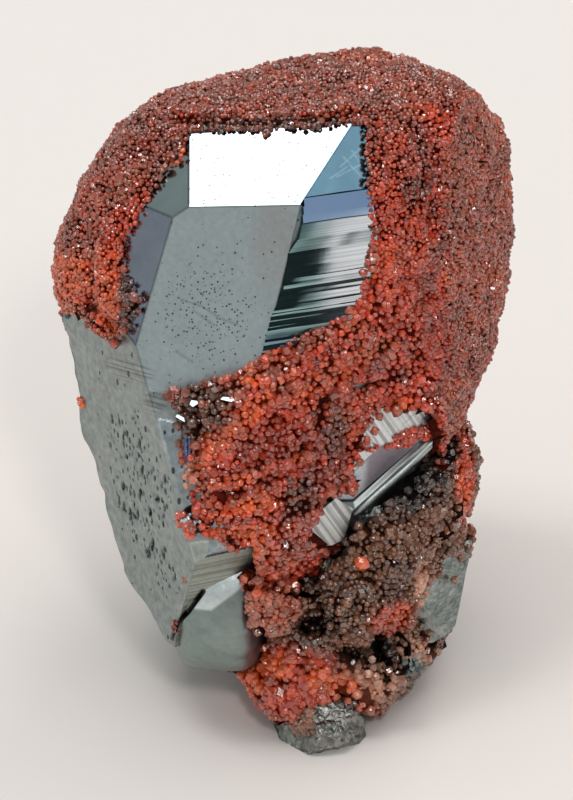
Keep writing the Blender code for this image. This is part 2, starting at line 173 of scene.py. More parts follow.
# %% Places as seen
def patch(a, u, a0, u0, half_a, half_u, turn=0.0, soft=0.35):
    """1 inside an ellipse that is turned anticlockwise by some degrees, and 0 outside: a ramp
    of the length of (along / half_a, beside / half_u)."""
    cos, sin = np.cos(np.radians(turn)), np.sin(np.radians(turn))
    along = (a - a0) * cos + (u - u0) * sin
    beside = (u - u0) * cos - (a - a0) * sin
    return ramp(np.hypot(along / half_a, beside / half_u), 1 + soft, 1 - soft)


def patches(a, u, places):
    """The strongest of several ellipses at each point."""
    return np.max([patch(a, u, *place) for place in places], axis=0)


def within(a, u, corners, soft=0.06):
    """1 inside a convex outline, its corners anticlockwise: a ramp of the distance to the
    nearest side."""
    corners = np.array(corners)
    side = np.roll(corners, -1, axis=0) - corners
    side = side / np.linalg.norm(side, axis=1, keepdims=True)
    inside = (u[..., None] - corners[:, 1]) * side[:, 0] \
        - (a[..., None] - corners[:, 0]) * side[:, 1]
    return ramp(inside.min(axis=-1), -soft, soft)


def line(a, u, ends, width):
    """1 on a line from one place to another, 0 further from it than its width."""
    (a0, u0), (a1, u1) = ends
    length = np.hypot(a1 - a0, u1 - u0)
    along = np.clip(((a - a0) * (a1 - a0) + (u - u0) * (u1 - u0)) / length**2, 0, 1)
    far = np.hypot(a - a0 - along * (a1 - a0), u - u0 - along * (u1 - u0))
    return ramp(far, width, 0.3 * width)


print("patch:", patch(np.array([0.0, 1.0, 2.0]), np.zeros(3), 0, 0, 1, 1))

# %% [markdown]
# ## From arrays to a piece
#
# Every piece is worked out as arrays of points and faces. This function turns them into a mesh
# object that moves with the specimen. Extra arrays, such as a colour for every point, become
# attributes that a material can read.

# %% Making a piece
def make_piece(name, points, faces, materials, slot, material_of=None, smooth=False, **more):
    """A mesh object from arrays in millimetres: one row of faces is one polygon. Nothing goes
    into the table, which is at height 0."""
    points = np.stack([points[:, 0], points[:, 1], np.maximum(points[:, 2], 0)], axis=1)
    mesh = bpy.data.meshes.new(name)
    mesh.vertices.add(len(points))
    mesh.vertices.foreach_set("co", np.ascontiguousarray(points * MM, np.float32).ravel())
    mesh.loops.add(faces.size)
    mesh.loops.foreach_set("vertex_index", np.ascontiguousarray(faces, np.int32).ravel())
    mesh.polygons.add(len(faces))
    starts = np.arange(0, faces.size, faces.shape[1], dtype=np.int32)
    mesh.polygons.foreach_set("loop_start", starts)
    for material in materials:
        mesh.materials.append(material)
    if material_of is not None:
        mesh.polygons.foreach_set("material_index", material_of.astype(np.int32))
    mesh.polygons.foreach_set("use_smooth", np.broadcast_to(smooth, len(faces)).astype(bool))
    mesh.update(calc_edges=True)
    for key, values in more.items():
        kind, field = ("FLOAT", "value") if values.ndim == 1 else ("FLOAT_COLOR", "color")
        if values.ndim == 2:
            values = np.concatenate([values, np.ones((len(values), 1))], axis=1)
        attribute = mesh.attributes.new(key, kind, "POINT")
        attribute.data.foreach_set(field, values.astype(np.float32).ravel())
    piece = bpy.data.objects.new(name, mesh)
    bpy.context.scene.collection.objects.link(piece)
    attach(piece, "root")
    triangles = len(faces) * (faces.shape[1] - 2)
    print(f"{name}: {triangles} triangles")
    return piece


def add(tree, kind, inputs=None, **settings):
    """Adds one node: settings are its properties, and inputs gives a socket its value or the
    output that it is linked to."""
    made = tree.nodes.new(kind)
    for key, value in settings.items():
        setattr(made, key, value)
    for socket, value in (inputs or {}).items():
        if isinstance(value, bpy.types.NodeSocket):
            tree.links.new(value, made.inputs[socket])
        else:
            made.inputs[socket].default_value = value
    return made


# %% [markdown]
# ## Hematite finishes
#
# Hematite is iron oxide that looks like dark metal, so each finish is a metal with a low
# brightness. What differs is the surface. A face that grew undisturbed is a mirror. A face that
# was etched by the fluid around it is dull. A thin film of tarnish turns a mirror blue. Broken
# hematite is grainy and glitters. The pieces carry a tint for every point, because the colour
# drifts over the real faces too.
#
# Striations and the smallest etch pits are narrower than any triangle could be, so the material draws
# them, and the piece only says where: how far across the striations each point is, how strong they are
# there, and which share of the pits is there. A pit is drawn as painted shade, darker than the face
# round it.

# %% Fine marks
STRIATION = (0.54, 0.42)  # the noise leaves no mark above the first and a whole one below the second
PIT_RADIUS = (0.12, 0.3)  # the smallest, and how much larger the largest is, in cells
# How much of its brightness a pit loses: painted shade.
PIT_DARK = 0.78


def fine_marks(tree, place, pit_mm, tall):
    """How much brightness is left by fine marks. A striation is dark where a noise along one
    coordinate is low. A pit is the part of a scattered cell nearest to its middle, in the cells whose
    random number is below the wanted share, and it is darkened as painted shade."""
    def given(name):
        return add(tree, "ShaderNodeAttribute", attribute_name=name).outputs["Fac"]

    def compute(operation, *values):
        return add(tree, "ShaderNodeMath", dict(enumerate(values)),
                   operation=operation).outputs["Value"]

    lines = add(tree, "ShaderNodeTexNoise", {"W": given("stripe"), "Scale": 1.0, "Detail": 3.0},
                noise_dimensions="1D")
    dark = add(tree, "ShaderNodeMapRange",
               {"Value": lines.outputs["Fac"], "From Min": STRIATION[0],
                "From Max": STRIATION[1]})
    stripes = compute("MULTIPLY", dark.outputs["Result"], given("striped"))
    squeezed = add(tree, "ShaderNodeVectorMath", {0: place, 1: (1, 1, 1 / tall)},
                   operation="MULTIPLY")
    cells = add(tree, "ShaderNodeTexVoronoi",
                {"Vector": squeezed.outputs["Vector"], "Scale": 1 / (pit_mm * MM)})
    own = add(tree, "ShaderNodeSeparateColor", {"Color": cells.outputs["Color"]})
    radius = compute("MULTIPLY_ADD", own.outputs["Red"], PIT_RADIUS[1], PIT_RADIUS[0])
    pit = compute("MULTIPLY", compute("LESS_THAN", cells.outputs["Distance"], radius),
                  compute("LESS_THAN", own.outputs["Green"], given("pitted")))
    return compute("MULTIPLY", compute("SUBTRACT", 1.0, stripes),
                   compute("MULTIPLY_ADD", pit, -PIT_DARK, 1.0))


# %% Hematite finishes
BUMP_DEPTH = 0.3  # of a grain's width


def hematite(name, roughness, mottle, mottle_mm, bump_mm=0.1, bump=0.0, pit_mm=0.17, tall=1.0):
    """A dark metal: the tint attribute, mottled a little and with fine marks, over a fine
    grain."""
    material = bpy.data.materials.new(name)
    material.use_nodes = True
    tree = material.node_tree
    shader = tree.nodes["Principled BSDF"]
    shader.inputs["Metallic"].default_value = 1.0
    shader.inputs["Roughness"].default_value = roughness
    place = add(tree, "ShaderNodeTexCoord").outputs["Object"]
    tint = add(tree, "ShaderNodeAttribute", attribute_name="tint").outputs["Color"]
    cloud = add(tree, "ShaderNodeTexNoise",
                {"Vector": place, "Scale": 1 / (mottle_mm * MM), "Detail": 4.0})
    shade = add(tree, "ShaderNodeMapRange",
                {"Value": cloud.outputs["Fac"], "From Min": 0.3, "From Max": 0.7,
                 "To Min": 1 - mottle, "To Max": 1 + mottle})
    mixed = add(tree, "ShaderNodeVectorMath",
                {0: tint, 1: shade.outputs["Result"]}, operation="MULTIPLY")
    marked = add(tree, "ShaderNodeVectorMath",
                 {0: mixed.outputs["Vector"], 1: fine_marks(tree, place, pit_mm, tall)},
                 operation="MULTIPLY")
    tree.links.new(marked.outputs["Vector"], shader.inputs["Base Color"])
    if bump:
        grain = add(tree, "ShaderNodeTexNoise",
                    {"Vector": place, "Scale": 1 / (bump_mm * MM), "Detail": 3.0})
        relief = add(tree, "ShaderNodeBump",
                     {"Height": grain.outputs["Fac"], "Strength": bump,
                      "Distance": bump_mm * MM * BUMP_DEPTH})
        tree.links.new(relief.outputs["Normal"], shader.inputs["Normal"])
    return material


# Eaten into by the fluid: dull, with a soft broad shine.
ETCHED = hematite("hematite_etched", roughness=0.46, mottle=0.07, mottle_mm=0.3,
                  bump_mm=0.12, bump=0.35)
# Eaten into deeper: cloudy, with tall pits that are wide enough to see.
ETCHED_DEEP = hematite("hematite_etched_deep", roughness=0.42, mottle=0.2, mottle_mm=0.45,
                       bump_mm=0.16, bump=0.9, pit_mm=0.34, tall=1.8)
# As it grew: it shows the room, sharp and hard.
MIRROR = hematite("hematite_mirror", roughness=0.06, mottle=0.02, mottle_mm=2.0)
# A film of tarnish: it shows the room blurred.
TARNISHED = hematite("hematite_tarnished", roughness=0.16, mottle=0.08, mottle_mm=1.5)
# Broken: coarse grains, each with a glint of its own.
BROKEN = hematite("hematite_broken", roughness=0.34, mottle=0.22, mottle_mm=0.5,
                  bump_mm=0.2, bump=0.8)
FINISHES = [ETCHED, ETCHED_DEEP, MIRROR, TARNISHED, BROKEN]
print("finishes:", [material.name for material in FINISHES])

# %% [markdown]
# ## The faces of the large crystal
#
# A crystal is what is left of space after a flat cut for each face. So the crystal is a list of
# planes: which way each faces, and how far it is from the middle. Its corners are the points
# where three planes meet and no other plane cuts them off, and the corners on one plane, put in
# order round their middle, are the outline of one face.

# %% The planes
CRYSTAL_CENTRE = np.array([0.0, 3.5, 24.0])
MAIN_FACES = {  # azimuth, elevation, distance from the centre
    "front": (-12, 22, 8.6),
    "bright_bevel": (-21.3, 59.4, 12.1),
    "blue_bevel": (30.7, 34.2, 10.3),
    "striated": (27.9, 11.3, 6.9),
    "striated_low": (32.6, 3.6, 7.9),
    "dark_bevel": (-50.9, 48.7, 12.6),
    "left": (-46.8, 24.7, 11.1),
    "lower_left": (-56.3, 1, 11.2),
    "bar": (46.4, -23.2, 11.0),
    "under_front": (19.4, -17.4, 12.1),
    "top": (-150, 76, 13.5),
    "right": (68, 5.8, 9.6),
    "back": (172, 6, 11.4),
    "back_left": (-132, 5, 12.8),
    "back_right": (118, 3.3, 16.0),
    "back_right_low": (107.5, -26.4, 13.7),
    "right_low": (86.3, -41.4, 11.8),
    "upper_right": (93.5, 45.4, 17.4),
    "top_back_right": (135.7, 39.6, 16.8),
    "top_back": (-156, 26, 13.4),
    "top_left": (-118.3, 35.5, 14.7),
    "upper_left": (-105.7, 22.8, 14.2),
    "far_left": (-92.2, 11.2, 13.9),
    "far_right": (95, -2, 14.4),
    "left_edge": (-99.8, -11.7, 13.2),
    "left_edge_low": (-96.8, -20.4, 14.0),
    "left_foot": (-78.6, -39.3, 18.0),
    "under_right": (58, -46.4, 12.8),
    "under_back": (178, -38, 15.5),
    "under": (-60, -70, 20.0),
}

# %% Planes as arrays
def planes_of(faces):
    """Outward normals and distances from the centre, as arrays."""
    table = np.array(list(faces.values()), float)
    return direction(table[:, 0], table[:, 1]), table[:, 2]


def outside(points, normals, distances):
    """How far each point is beyond each plane: n . p - d, negative inside."""
    return points @ normals.T - distances


# %% A solid cut out by planes
PARALLEL = 1e-4  # three planes whose determinant is smaller don't meet in one point
ON_PLANE = 1e-3  # a corner this near a plane is on it


def solid_of(normals, distances):
    """Corners, triangles and the face that each triangle belongs to. Three planes at a time
    are solved as n . p = d, and a corner is kept if no plane has it outside."""
    count = len(distances)
    trio = np.stack(np.triu_indices(count, 1), axis=1)
    trio = np.concatenate([np.c_[trio[trio[:, 0] > k], np.full((trio[:, 0] > k).sum(), k)]
                           for k in range(count)])
    flat = np.abs(np.linalg.det(normals[trio])) < PARALLEL
    trio = trio[~flat]
    spots = np.linalg.solve(normals[trio], distances[trio][..., None])[..., 0]
    corners = spots[(outside(spots, normals, distances) < 1e-6).all(axis=1)]
    corners = np.unique(np.round(corners, 5), axis=0)
    points, faces, owner = [corners], [], []
    total = len(corners)
    for k in range(count):
        on = np.flatnonzero(np.abs(outside(corners, normals, distances)[:, k]) < ON_PLANE)
        if len(on) < 3:
            continue
        middle = corners[on].mean(axis=0)
        side = np.cross(normals[k], normals[k][[2, 0, 1]])
        angle = np.arctan2((corners[on] - middle) @ np.cross(normals[k], side),
                           (corners[on] - middle) @ side)
        ring = on[np.argsort(angle)]
        points.append(middle[None])
        fan = np.stack([np.full(len(ring), total), ring, np.roll(ring, -1)], axis=1)
        faces.append(fan)
        owner.append(np.full(len(ring), k))
        total += 1
    return np.concatenate(points), np.concatenate(faces), np.concatenate(owner)


# %% The solid of the large crystal
NORMALS, REACH = planes_of(MAIN_FACES)
crystal_points, crystal_faces, crystal_owner = solid_of(NORMALS, REACH)
print("corners:", len(crystal_points), "triangles:", len(crystal_faces))

# %% [markdown]
# ## Fine triangles where the relief needs them
#
# Relief can only be as fine as the triangles. Splitting every long edge at its middle, again and
# again, gives small triangles where they are wanted and leaves large ones where nothing shows.
# Both triangles at an edge see the same middle point, so no cracks open.

# %% Splitting edges
def refine(points, faces, owner, wanted):
    """Splits each edge longer than wanted(middle, owners) until none is. A triangle with one,
    two or three split edges becomes two, three or four."""
    while True:
        ends = np.sort(faces[:, [0, 1, 1, 2, 2, 0]].reshape(-1, 2), axis=1)
        key, first, index = np.unique(ends[:, 0] * len(points) + ends[:, 1],
                                      return_index=True, return_inverse=True)
        edges = ends[first]
        middle = points[edges].mean(axis=1)
        finest = np.full(len(edges), np.inf)
        np.minimum.at(finest, index, np.repeat(wanted[owner], 3))
        long = np.linalg.norm(points[edges[:, 0]] - points[edges[:, 1]], axis=1) > finest
        if not long.any():
            return points, faces, owner
        new = np.where(long, len(points) + np.cumsum(long) - 1, -1)[index].reshape(-1, 3)
        points = np.concatenate([points, middle[long]])
        split = new >= 0
        number = split.sum(axis=1)
        # Each triangle is turned so that its one split edge, or the edge before its one
        # unsplit edge, comes first.
        turn = np.where(number == 1, split.argmax(axis=1), (~split).argmax(axis=1) + 1) % 3
        order = (turn[:, None] + np.arange(3)) % 3
        a, b, c = np.take_along_axis(faces, order, axis=1).T
        m, n, o = np.take_along_axis(new, order, axis=1).T
        made, owners = [], []
        for case, pieces in (
            (0, ((a, b, c),)),
            (1, ((a, m, c), (m, b, c))),
            (2, ((a, m, c), (m, n, c), (m, b, n))),
            (3, ((a, m, o), (m, b, n), (o, n, c), (m, n, o))),
        ):
            rows = number == case
            for piece in pieces:
                made.append(np.stack([column[rows] for column in piece], axis=1))
                owners.append(owner[rows])
        faces, owner = np.concatenate(made), np.concatenate(owners)


# %% The large crystal, split finer
PLAIN = 1.2  # the longest edge on the faces that nothing shows on, in mm
FINE = {"front": 0.16, "bright_bevel": 0.3, "blue_bevel": 0.16, "striated": 0.4,
        "striated_low": 0.13, "dark_bevel": 0.3, "left": 0.25, "lower_left": 0.18,
        "bar": 0.4, "under_front": 0.16, "left_edge": 0.5, "left_edge_low": 0.5,
        "left_foot": 0.5}
wanted = np.array([FINE.get(name, PLAIN) for name in MAIN_FACES])
crystal_points, crystal_faces, crystal_owner = refine(
    crystal_points, crystal_faces, crystal_owner, wanted)
print("crystal triangles:", len(crystal_faces), "of which on the",
      {name: int((crystal_owner == k).sum()) for k, name in enumerate(MAIN_FACES) if name in FINE})

# %% [markdown]
# ## Etch pits and growth layers
#
# The front face and the lower left face were etched: small dark pits, single on the front and
# crowded into clusters on the left, and thin growth layers that end in steps. All of it is one
# height for every point, measured outwards from the flat face. The height fades out towards the
# edges of a face, so that neighbouring faces still meet. A long notch runs down the lower
# striated face, and the left edge is worn, so it wanders.

# %% Points and how far they are from an edge
FACE = {name: k for k, name in enumerate(MAIN_FACES)}
zone = np.zeros(len(crystal_points), int)
zone[crystal_faces] = crystal_owner[:, None]

lean = NORMALS @ NORMALS.T
apart = np.sqrt(np.maximum(1 - lean**2, 1e-6))
to_edge = -outside(crystal_points, NORMALS, REACH) / apart[zone]
to_edge[np.arange(len(zone)), zone] = np.inf
edge_mm = to_edge.min(axis=1)

places = crystal_points + CRYSTAL_CENTRE
across, up = seen(places)

# %% Pits
def pits(points, spacing, share, width, seed):
    """From 0 to 1: how deep in a pit each point is. One point is scattered in each cell, a
    share of them holds a pit, and the pit is 1 at its middle and 0 at its width."""
    nearest, _, own = scattered(points, spacing, seed)
    wide = width * (0.6 + 0.8 * own / np.maximum(share, 1e-3))
    return np.where(own < share, 1 - ramp(nearest, 0.3 * wide, wide), 0)


# %% Which face each point is on
on_front = zone == FACE["front"]
on_left = np.isin(zone, [FACE["left"], FACE["lower_left"]])
on_lower_left = zone == FACE["lower_left"]
on_striated = zone == FACE["striated"]
on_low = zone == FACE["striated_low"]
on_under = zone == FACE["under_front"]

# %% Relief of the etched faces
SMALL_FACET = ((-7.9, 15.6), (-7.0, 12.4), (-5.9, 12.45), (-5.95, 15.3))
SMOOTH_FACET = ((-7.1, 7.9), (-6.6, 5.4), (-5.0, 6.2), (-4.7, 8.2))
STEPS = ((-9.5, 18.6, 1.5, 0.75, -17), (-7.9, 16.6, 0.7, 0.7))
CLUSTERS = ((-9.7, 14.6, 1.5, 1.3, -50), (-8.2, 11.6, 1.5, 1.2, -55), (-8.6, 9.0, 1.2, 2.0, 15),
            (-7.4, 6.6, 0.9, 1.8, 20), (-10.0, 11.3, 0.7, 1.6, 15))
HOLLOW = (-5.5, 9.5, 0.75, 0.75)
ETCHED_UP_TO = 17.2  # below this the narrow strip of the front face is etched too
UNDULATION = 0.10  # the heights and depths of the relief, in mm
PIT_DEPTH = 0.14
FACET_RISE = 0.12
FACET_DIP = 0.05
HOLLOW_DEPTH = 0.5
GRAIN = 0.012
FADE = 0.25  # the relief fades out over this width along the edges of a face

small_facet = within(across, up, SMALL_FACET)
smooth_facet = within(across, up, SMOOTH_FACET)
clusters = patches(across, up, CLUSTERS) * (1 - small_facet) * (1 - smooth_facet)
low_half = patch(across, up, -4.9, 22.0, 2.6, 2.6)  # the lower half of the front, more pitted
warped = places + 0.12 * hills(places, 0.35, 10)[:, None]
left_pits = np.maximum(
    pits(warped * [1, 1, 0.5], spacing=0.42, share=0.44 * clusters, width=0.19, seed=13),
    pits(warped * [1, 1, 0.6], spacing=0.26, share=0.30 * clusters, width=0.10, seed=14) * 0.8)
etched = on_front & (up < ETCHED_UP_TO)
hollow = patch(across, up, *HOLLOW)
pit = np.where(on_lower_left | etched, left_pits, 0) * (1 - hollow)
undulation = UNDULATION * rough(places * [1, 1, 0.6], 2.0, 15) * ramp(up, 19.0, 15.0)
height = np.where(on_lower_left | etched, undulation, 0) - PIT_DEPTH * pit
height = height + np.where(on_front | on_left, GRAIN * rough(places, 0.5, 16), 0)
height = height + FACET_RISE * small_facet * on_front - FACET_DIP * smooth_facet * on_front
height = height - HOLLOW_DEPTH * hollow * on_front
height = height * ramp(edge_mm, 0.0, FADE)

# %% The notch and the worn edge
NOTCH_TOP = ((4.3, 6.8, 8.8), (13.7, 14.2, 15.4))  # across, and up
NOTCH_FOOT = ((4.2, 9.0), (10.4, 14.6))
NOTCH_DEPTH = 0.3

top_of, foot_of = np.interp(across, *NOTCH_TOP), np.interp(across, *NOTCH_FOOT)
into = (top_of - up) / (top_of - foot_of)  # 0 at the top edge of the notch, 1 at its foot
notch = np.clip(into, 0, 1) * ramp(into, 1.12, 1.0) * on_low
height = height - NOTCH_DEPTH * notch

WORN = ["left_edge", "left_edge_low", "left_foot"]
WAVE = 0.34  # the worn edge wanders this far
from_worn = -outside(crystal_points, NORMALS, REACH)[:, [FACE[name] for name in WORN]].max(axis=1)
wave = np.stack([rough(places, 2.4, 17 + k) for k in range(3)], axis=1)
wave = WAVE * wave * (ramp(from_worn, 2.2, 0.3) * ramp(up, 24.0, 21.0))[:, None]
crystal_at = places + NORMALS[zone] * height[:, None] + wave
print("pitted points:", int((pit > 0.3).sum()))

# %% [markdown]
# Metal has no colour of its own beyond its tint, so the tint carries what a face mirrors little of:
# dull grey on the front, grey green on the etched side, lilac where it is tarnished. The inside of a
# pit is painted nearly black as shade, and the thin seam where two faces meet is nearly black too.

# %% The tint of every point of the crystal
PLAIN_TINT = "848a86"
TINTS = {
    "front": "bac5c6", "bright_bevel": "787c80", "blue_bevel": "7393a2",
    "striated": "eceeee", "striated_low": "eceeee", "dark_bevel": "8f9897",
    "left": "a2a5b2", "lower_left": "929a98", "bar": "9aa3a1", "under_front": "c8ccc6",
}
FRONT_LINES = (((-6.3, 22.7), (-5.0, 22.3)), ((-5.0, 22.3), (-4.0, 21.6)),
               ((-4.0, 21.6), (-2.9, 21.2)), ((-5.6, 22.1), (-4.4, 21.2)),
               ((-6.6, 19.6), (-5.6, 19.0)))
CRACK = (((-5.1, 5.1), (-6.0, 3.9)), ((-6.0, 3.9), (-6.5, 3.3)), ((-6.5, 3.3), (-7.1, 2.3)))
SCRATCHES = (((3.2, 30.6), (4.6, 31.9)), ((3.0, 30.0), (4.7, 30.9)), ((3.9, 31.6), (4.8, 30.2)),
             ((3.4, 31.2), (4.4, 30.1)), ((2.6, 29.9), (3.6, 30.6)))


def tinted(colours, code, share):
    """Colours blended towards one hex colour by a share from 0 to 1."""
    share = np.asarray(share)[..., None]
    return colours * (1 - share) + linear(code) * share


tint = np.array([linear(TINTS.get(name, PLAIN_TINT)) for name in MAIN_FACES])[zone]
tint = tint * (1 + 0.07 * rough(places, 1.6, 18))[:, None]
# On the front: thin dark lines, a pale cloud, the etched strip, and two facets of its own.
front_line = np.max([line(across, up, ends, 0.09) for ends in FRONT_LINES], axis=0)
tint = tint * (1 - 0.3 * on_front * front_line)[:, None]
tint = tinted(tint, "b6b4b4", 0.6 * on_front * patch(across, up, -0.6, 26.2, 1.5, 2.6))
tint = tinted(tint, "a4acab", etched * ramp(across, -4.0, -5.5))
tint = tinted(tint, "a5afb4", on_front * small_facet)
tint = tinted(tint, "7fa6f0", on_front * line(across, up, ((-6.0, 15.3), (-5.95, 12.5)), 0.16))
tint = tinted(tint, "bcc0b8", on_front * smooth_facet)
# Pale scratches on the blue face, and painted shade inside the hollow.
scratch = np.max([line(across, up, ends, 0.06) for ends in SCRATCHES], axis=0)
tint = tinted(tint, "a9c4c6", 0.5 * scratch * (zone == FACE["blue_bevel"]))
tint = tinted(tint, "20251f", 0.9 * on_front * hollow)
# The floor of the notch, lilac on the right and pale on the left, the face under its foot, and a dark
# line of painted shade in the crease along the foot.
notch_floor = on_low * ramp(into, 0.0, 0.04)
tint = tinted(tint, "958d98", 0.95 * notch_floor * ramp(across, 4.4, 5.2))
tint = tinted(tint, "bcc8d2", 0.8 * notch_floor * ramp(across, 5.2, 4.4))
tint = tinted(tint, "b4bab8", 0.95 * on_low * ramp(into, 1.0, 1.03))
tint = tinted(tint, "1b1d1d", 0.95 * on_low * ramp(into, 0.94, 0.97) * ramp(into, 1.03, 1.0))
# What shows of the striated face beside its steps is tarnished blue.
tint = tinted(tint, "6f8894", 0.9 * on_striated * ramp(up, 17.0, 18.0))

RIFT = ((-4.9, 7.25), (-1.8, 7.9))  # a dark seam across the face under the front
RIFT_SLOPE = 0.2
SEAM = 0.05  # the dark line where two faces meet is about this wide
below_rift = RIFT[0][1] + (across - RIFT[0][0]) * RIFT_SLOPE - up
tint = tinted(tint, "aab2ba", 0.8 * on_under * ramp(below_rift, 0.0, -0.05))
tint = tinted(tint, "a3a89e", 0.8 * on_under * ramp(below_rift, 0.0, 0.1))
tint = tinted(tint, "22243c", on_under * line(across, up, RIFT, 0.09))
# Painted shade in the crack beside the break.
tint = tinted(tint, "1a1512", np.max([line(across, up, ends, 0.2) for ends in CRACK], axis=0))
# Painted shade in the pits.
tint = tint * (1 - 0.85 * np.clip(pit * 1.4, 0, 1))[:, None]
seam = np.exp(-((edge_mm / SEAM) ** 2)) * ramp(up, 14.0, 18.0)
tint = tint * (1 - 0.6 * seam)[:, None]
print("mean tint:", np.round(tint.mean(axis=0), 2))

# %% [markdown]
# The attributes for the fine marks follow. Striations run in one direction on each face, so the
# coordinate across them is a weighted sum of how far across and how far up a point is seen.

# %% Where the fine marks are, and the finished crystal
STEEP = (0.81, 0.58)  # weights across the steep striations of the lower striated face
STEEP_PER_MM = 4.0
LEVEL_PER_MM = 5.0
LEVEL_SLOPE = 0.28
STEEP_UP_TO = 17  # above this the striations lie level


def steep_stripe(a, u):
    """The coordinate across steep striations, counted in striations."""
    return STEEP_PER_MM * (STEEP[0] * a + STEEP[1] * u)


steep = (on_low | on_striated) & (up < STEEP_UP_TO)
stripe = np.where(steep, steep_stripe(across, up), LEVEL_PER_MM * (up + LEVEL_SLOPE * across))
stripe = np.where(on_under, LEVEL_PER_MM * below_rift, stripe)
striped = 0.45 * steep * (1 - notch_floor) + 0.35 * on_under
striped = striped + 0.4 * patches(across, up, STEPS) * (on_left | on_front & ~small_facet.astype(bool))
pitted = np.where(on_lower_left | etched, 0.1 + 0.6 * clusters, 0)
pitted = np.where(on_front & ~etched, 0.08 + 0.6 * low_half, pitted)
pitted = np.where(zone == FACE["bright_bevel"], 0.3, pitted)

finish_of = np.zeros(len(MAIN_FACES), int)
for name, finish in (("bright_bevel", MIRROR), ("dark_bevel", TARNISHED),
                     ("blue_bevel", TARNISHED), ("left", TARNISHED),
                     ("lower_left", ETCHED_DEEP)):
    finish_of[FACE[name]] = FINISHES.index(finish)
finish = np.where(etched[crystal_faces].all(axis=1), FINISHES.index(ETCHED_DEEP),
                  finish_of[crystal_owner])
crystal = make_piece("crystal", crystal_at, crystal_faces, FINISHES, "hematite",
                     material_of=finish, tint=tint, stripe=stripe, striped=striped,
                     pitted=pitted)
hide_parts("hematite")

# %% [markdown]
# ## The striated face
#
# To the right of the front face is the brightest trick of the specimen: a mirror that is not
# flat but lies in narrow steps, each tipped a little more or less. A step that tips up mirrors
# the dark room and one that tips down mirrors the pale table. So each step is written down by
# its upper edge and by how far it tips at its left end, in its middle and at its right end. A
# few degrees decide between white and black.

# %% The steps of the striated face
STRIPS = (  # upper edge where it is seen straight ahead, and the tip at three places, degrees
    (28.64, 9.0, 9.5, 9.5), (28.58, 17.0, 17.0, 17.0), (28.1, 17.0, 17.0, 17.0),
    (27.62, 17.0, 17.0, 17.0), (27.14, 8.0, 9.0, 9.0),
    (27.05, 6.7, 6.3, 1.0), (26.21, 5.3, 5.9, 6.6), (25.50, 9.0, 6.6, 1.5),
    (24.60, 10.0, 7.4, 2.0), (24.02, 9.5, 9.0, 9.5), (23.94, 9.0, 3.0, 0.0),
    (23.74, 9.0, 6.0, 6.2), (23.58, 3.5, 5.0, 6.5), (23.40, 9.0, 8.5, 9.0),
    (23.22, 8.5, 7.0, 0.5), (23.04, 9.0, 9.5, 9.5), (22.94, 9.0, 5.5, 1.0),
    (22.52, 8.5, 9.0, 9.0), (22.40, 8.0, 6.0, 3.0), (22.22, 2.5, 4.5, 5.5),
    (22.08, 8.5, 7.0, 9.0), (21.98, 3.0, 5.0, 6.0), (21.86, 9.0, 8.5, 9.0),
    (21.66, 6.4, 7.4, 8.0), (21.58, 9.0, 8.0, 7.0), (21.30, 6.5, 8.0, 8.0),
    (21.22, 9.5, 8.0, 7.0), (21.05, 4.0, 5.0, 6.0), (20.87, 6.6, 6.2, 7.0),
    (20.58, 8.5, 6.6, 7.0), (20.40, 1.0, 3.5, 6.0), (20.24, 9.0, 6.8, 7.0),
    (19.96, 6.2, 7.5, 8.0), (19.84, 9.5, 9.0, 9.0), (19.40, 7.0, 6.6, 6.0),
)
STRIP_RISE = 0.16  # they rise this much for each millimetre to the right
STRIATED_LEFT = ((19.4, 21.9, 23.4, 25.45, 26.35, 27.2, 28.6),  # up, and across there
                 (-1.65, -1.0, -0.25, 0.0, 0.75, 0.9, 1.0))
STRIATED_RIGHT = ((19.4, 20.0, 20.6, 21.0, 21.6, 23.2, 25.8, 27.8),
                  (-1.3, 0.4, 1.5, 3.0, 4.3, 4.95, 5.4, 5.1))
STRIATED_COLUMNS = 150
STRIP_LIFT = 0.16  # the middle line of every step stands this far out of the face
STRIP_WANDER = 0.025  # the edge of a step wanders this far up and down
TIPS_AT = (0.0, 2.3, 4.6)  # the three tips of a step are where it is seen this far across
TIP_WANDER = 0.8
EDGE_ON_FACE = -0.05  # of n . LOOK: a face nearer to edge on than this hides nothing

# %% From a place as seen to a place on the crystal
def crystal_surface(a, u, without=()):
    """The place on the crystal that is seen this far across and up: of all the faces that
    face the camera, the one furthest along the line of sight is the one that is seen."""
    start = np.multiply.outer(a, np.array([1.0, 0, 0])) + np.multiply.outer(u, UP)
    facing = NORMALS @ LOOK < EDGE_ON_FACE
    facing[[FACE[name] for name in without]] = False
    normals, reach = NORMALS[facing], REACH[facing]
    gap = (reach + normals @ CRYSTAL_CENTRE - start @ normals.T) / (normals @ LOOK)
    return start + LOOK * gap.max(axis=-1)[..., None]


def sheet_faces(rows, columns):
    """Quads between the points of a grid, counted row by row."""
    index = np.arange(rows * columns).reshape(rows, columns)
    quads = np.stack([index[:-1, :-1], index[:-1, 1:], index[1:, 1:], index[1:, :-1]], axis=-1)
    return quads.reshape(-1, 4)


# %% The edges of the steps
strips = np.array(STRIPS)
edge_up = strips[::-1, 0]  # from the lowest strip to the highest
left, right = np.interp(edge_up, *STRIATED_LEFT), np.interp(edge_up, *STRIATED_RIGHT)
columns = np.linspace(0, 1, STRIATED_COLUMNS)


def strip_edge(k):
    """Where the edge number k is seen: across, and up with its slope and a slight wander."""
    a = left[k][:, None] + columns * (right - left)[k][:, None]
    wander = hills(np.stack([a / 1.6, k[:, None] + 0 * a, 0 * a], axis=-1), 1.0, 21)
    return a, edge_up[k][:, None] + STRIP_RISE * a + STRIP_WANDER * wander


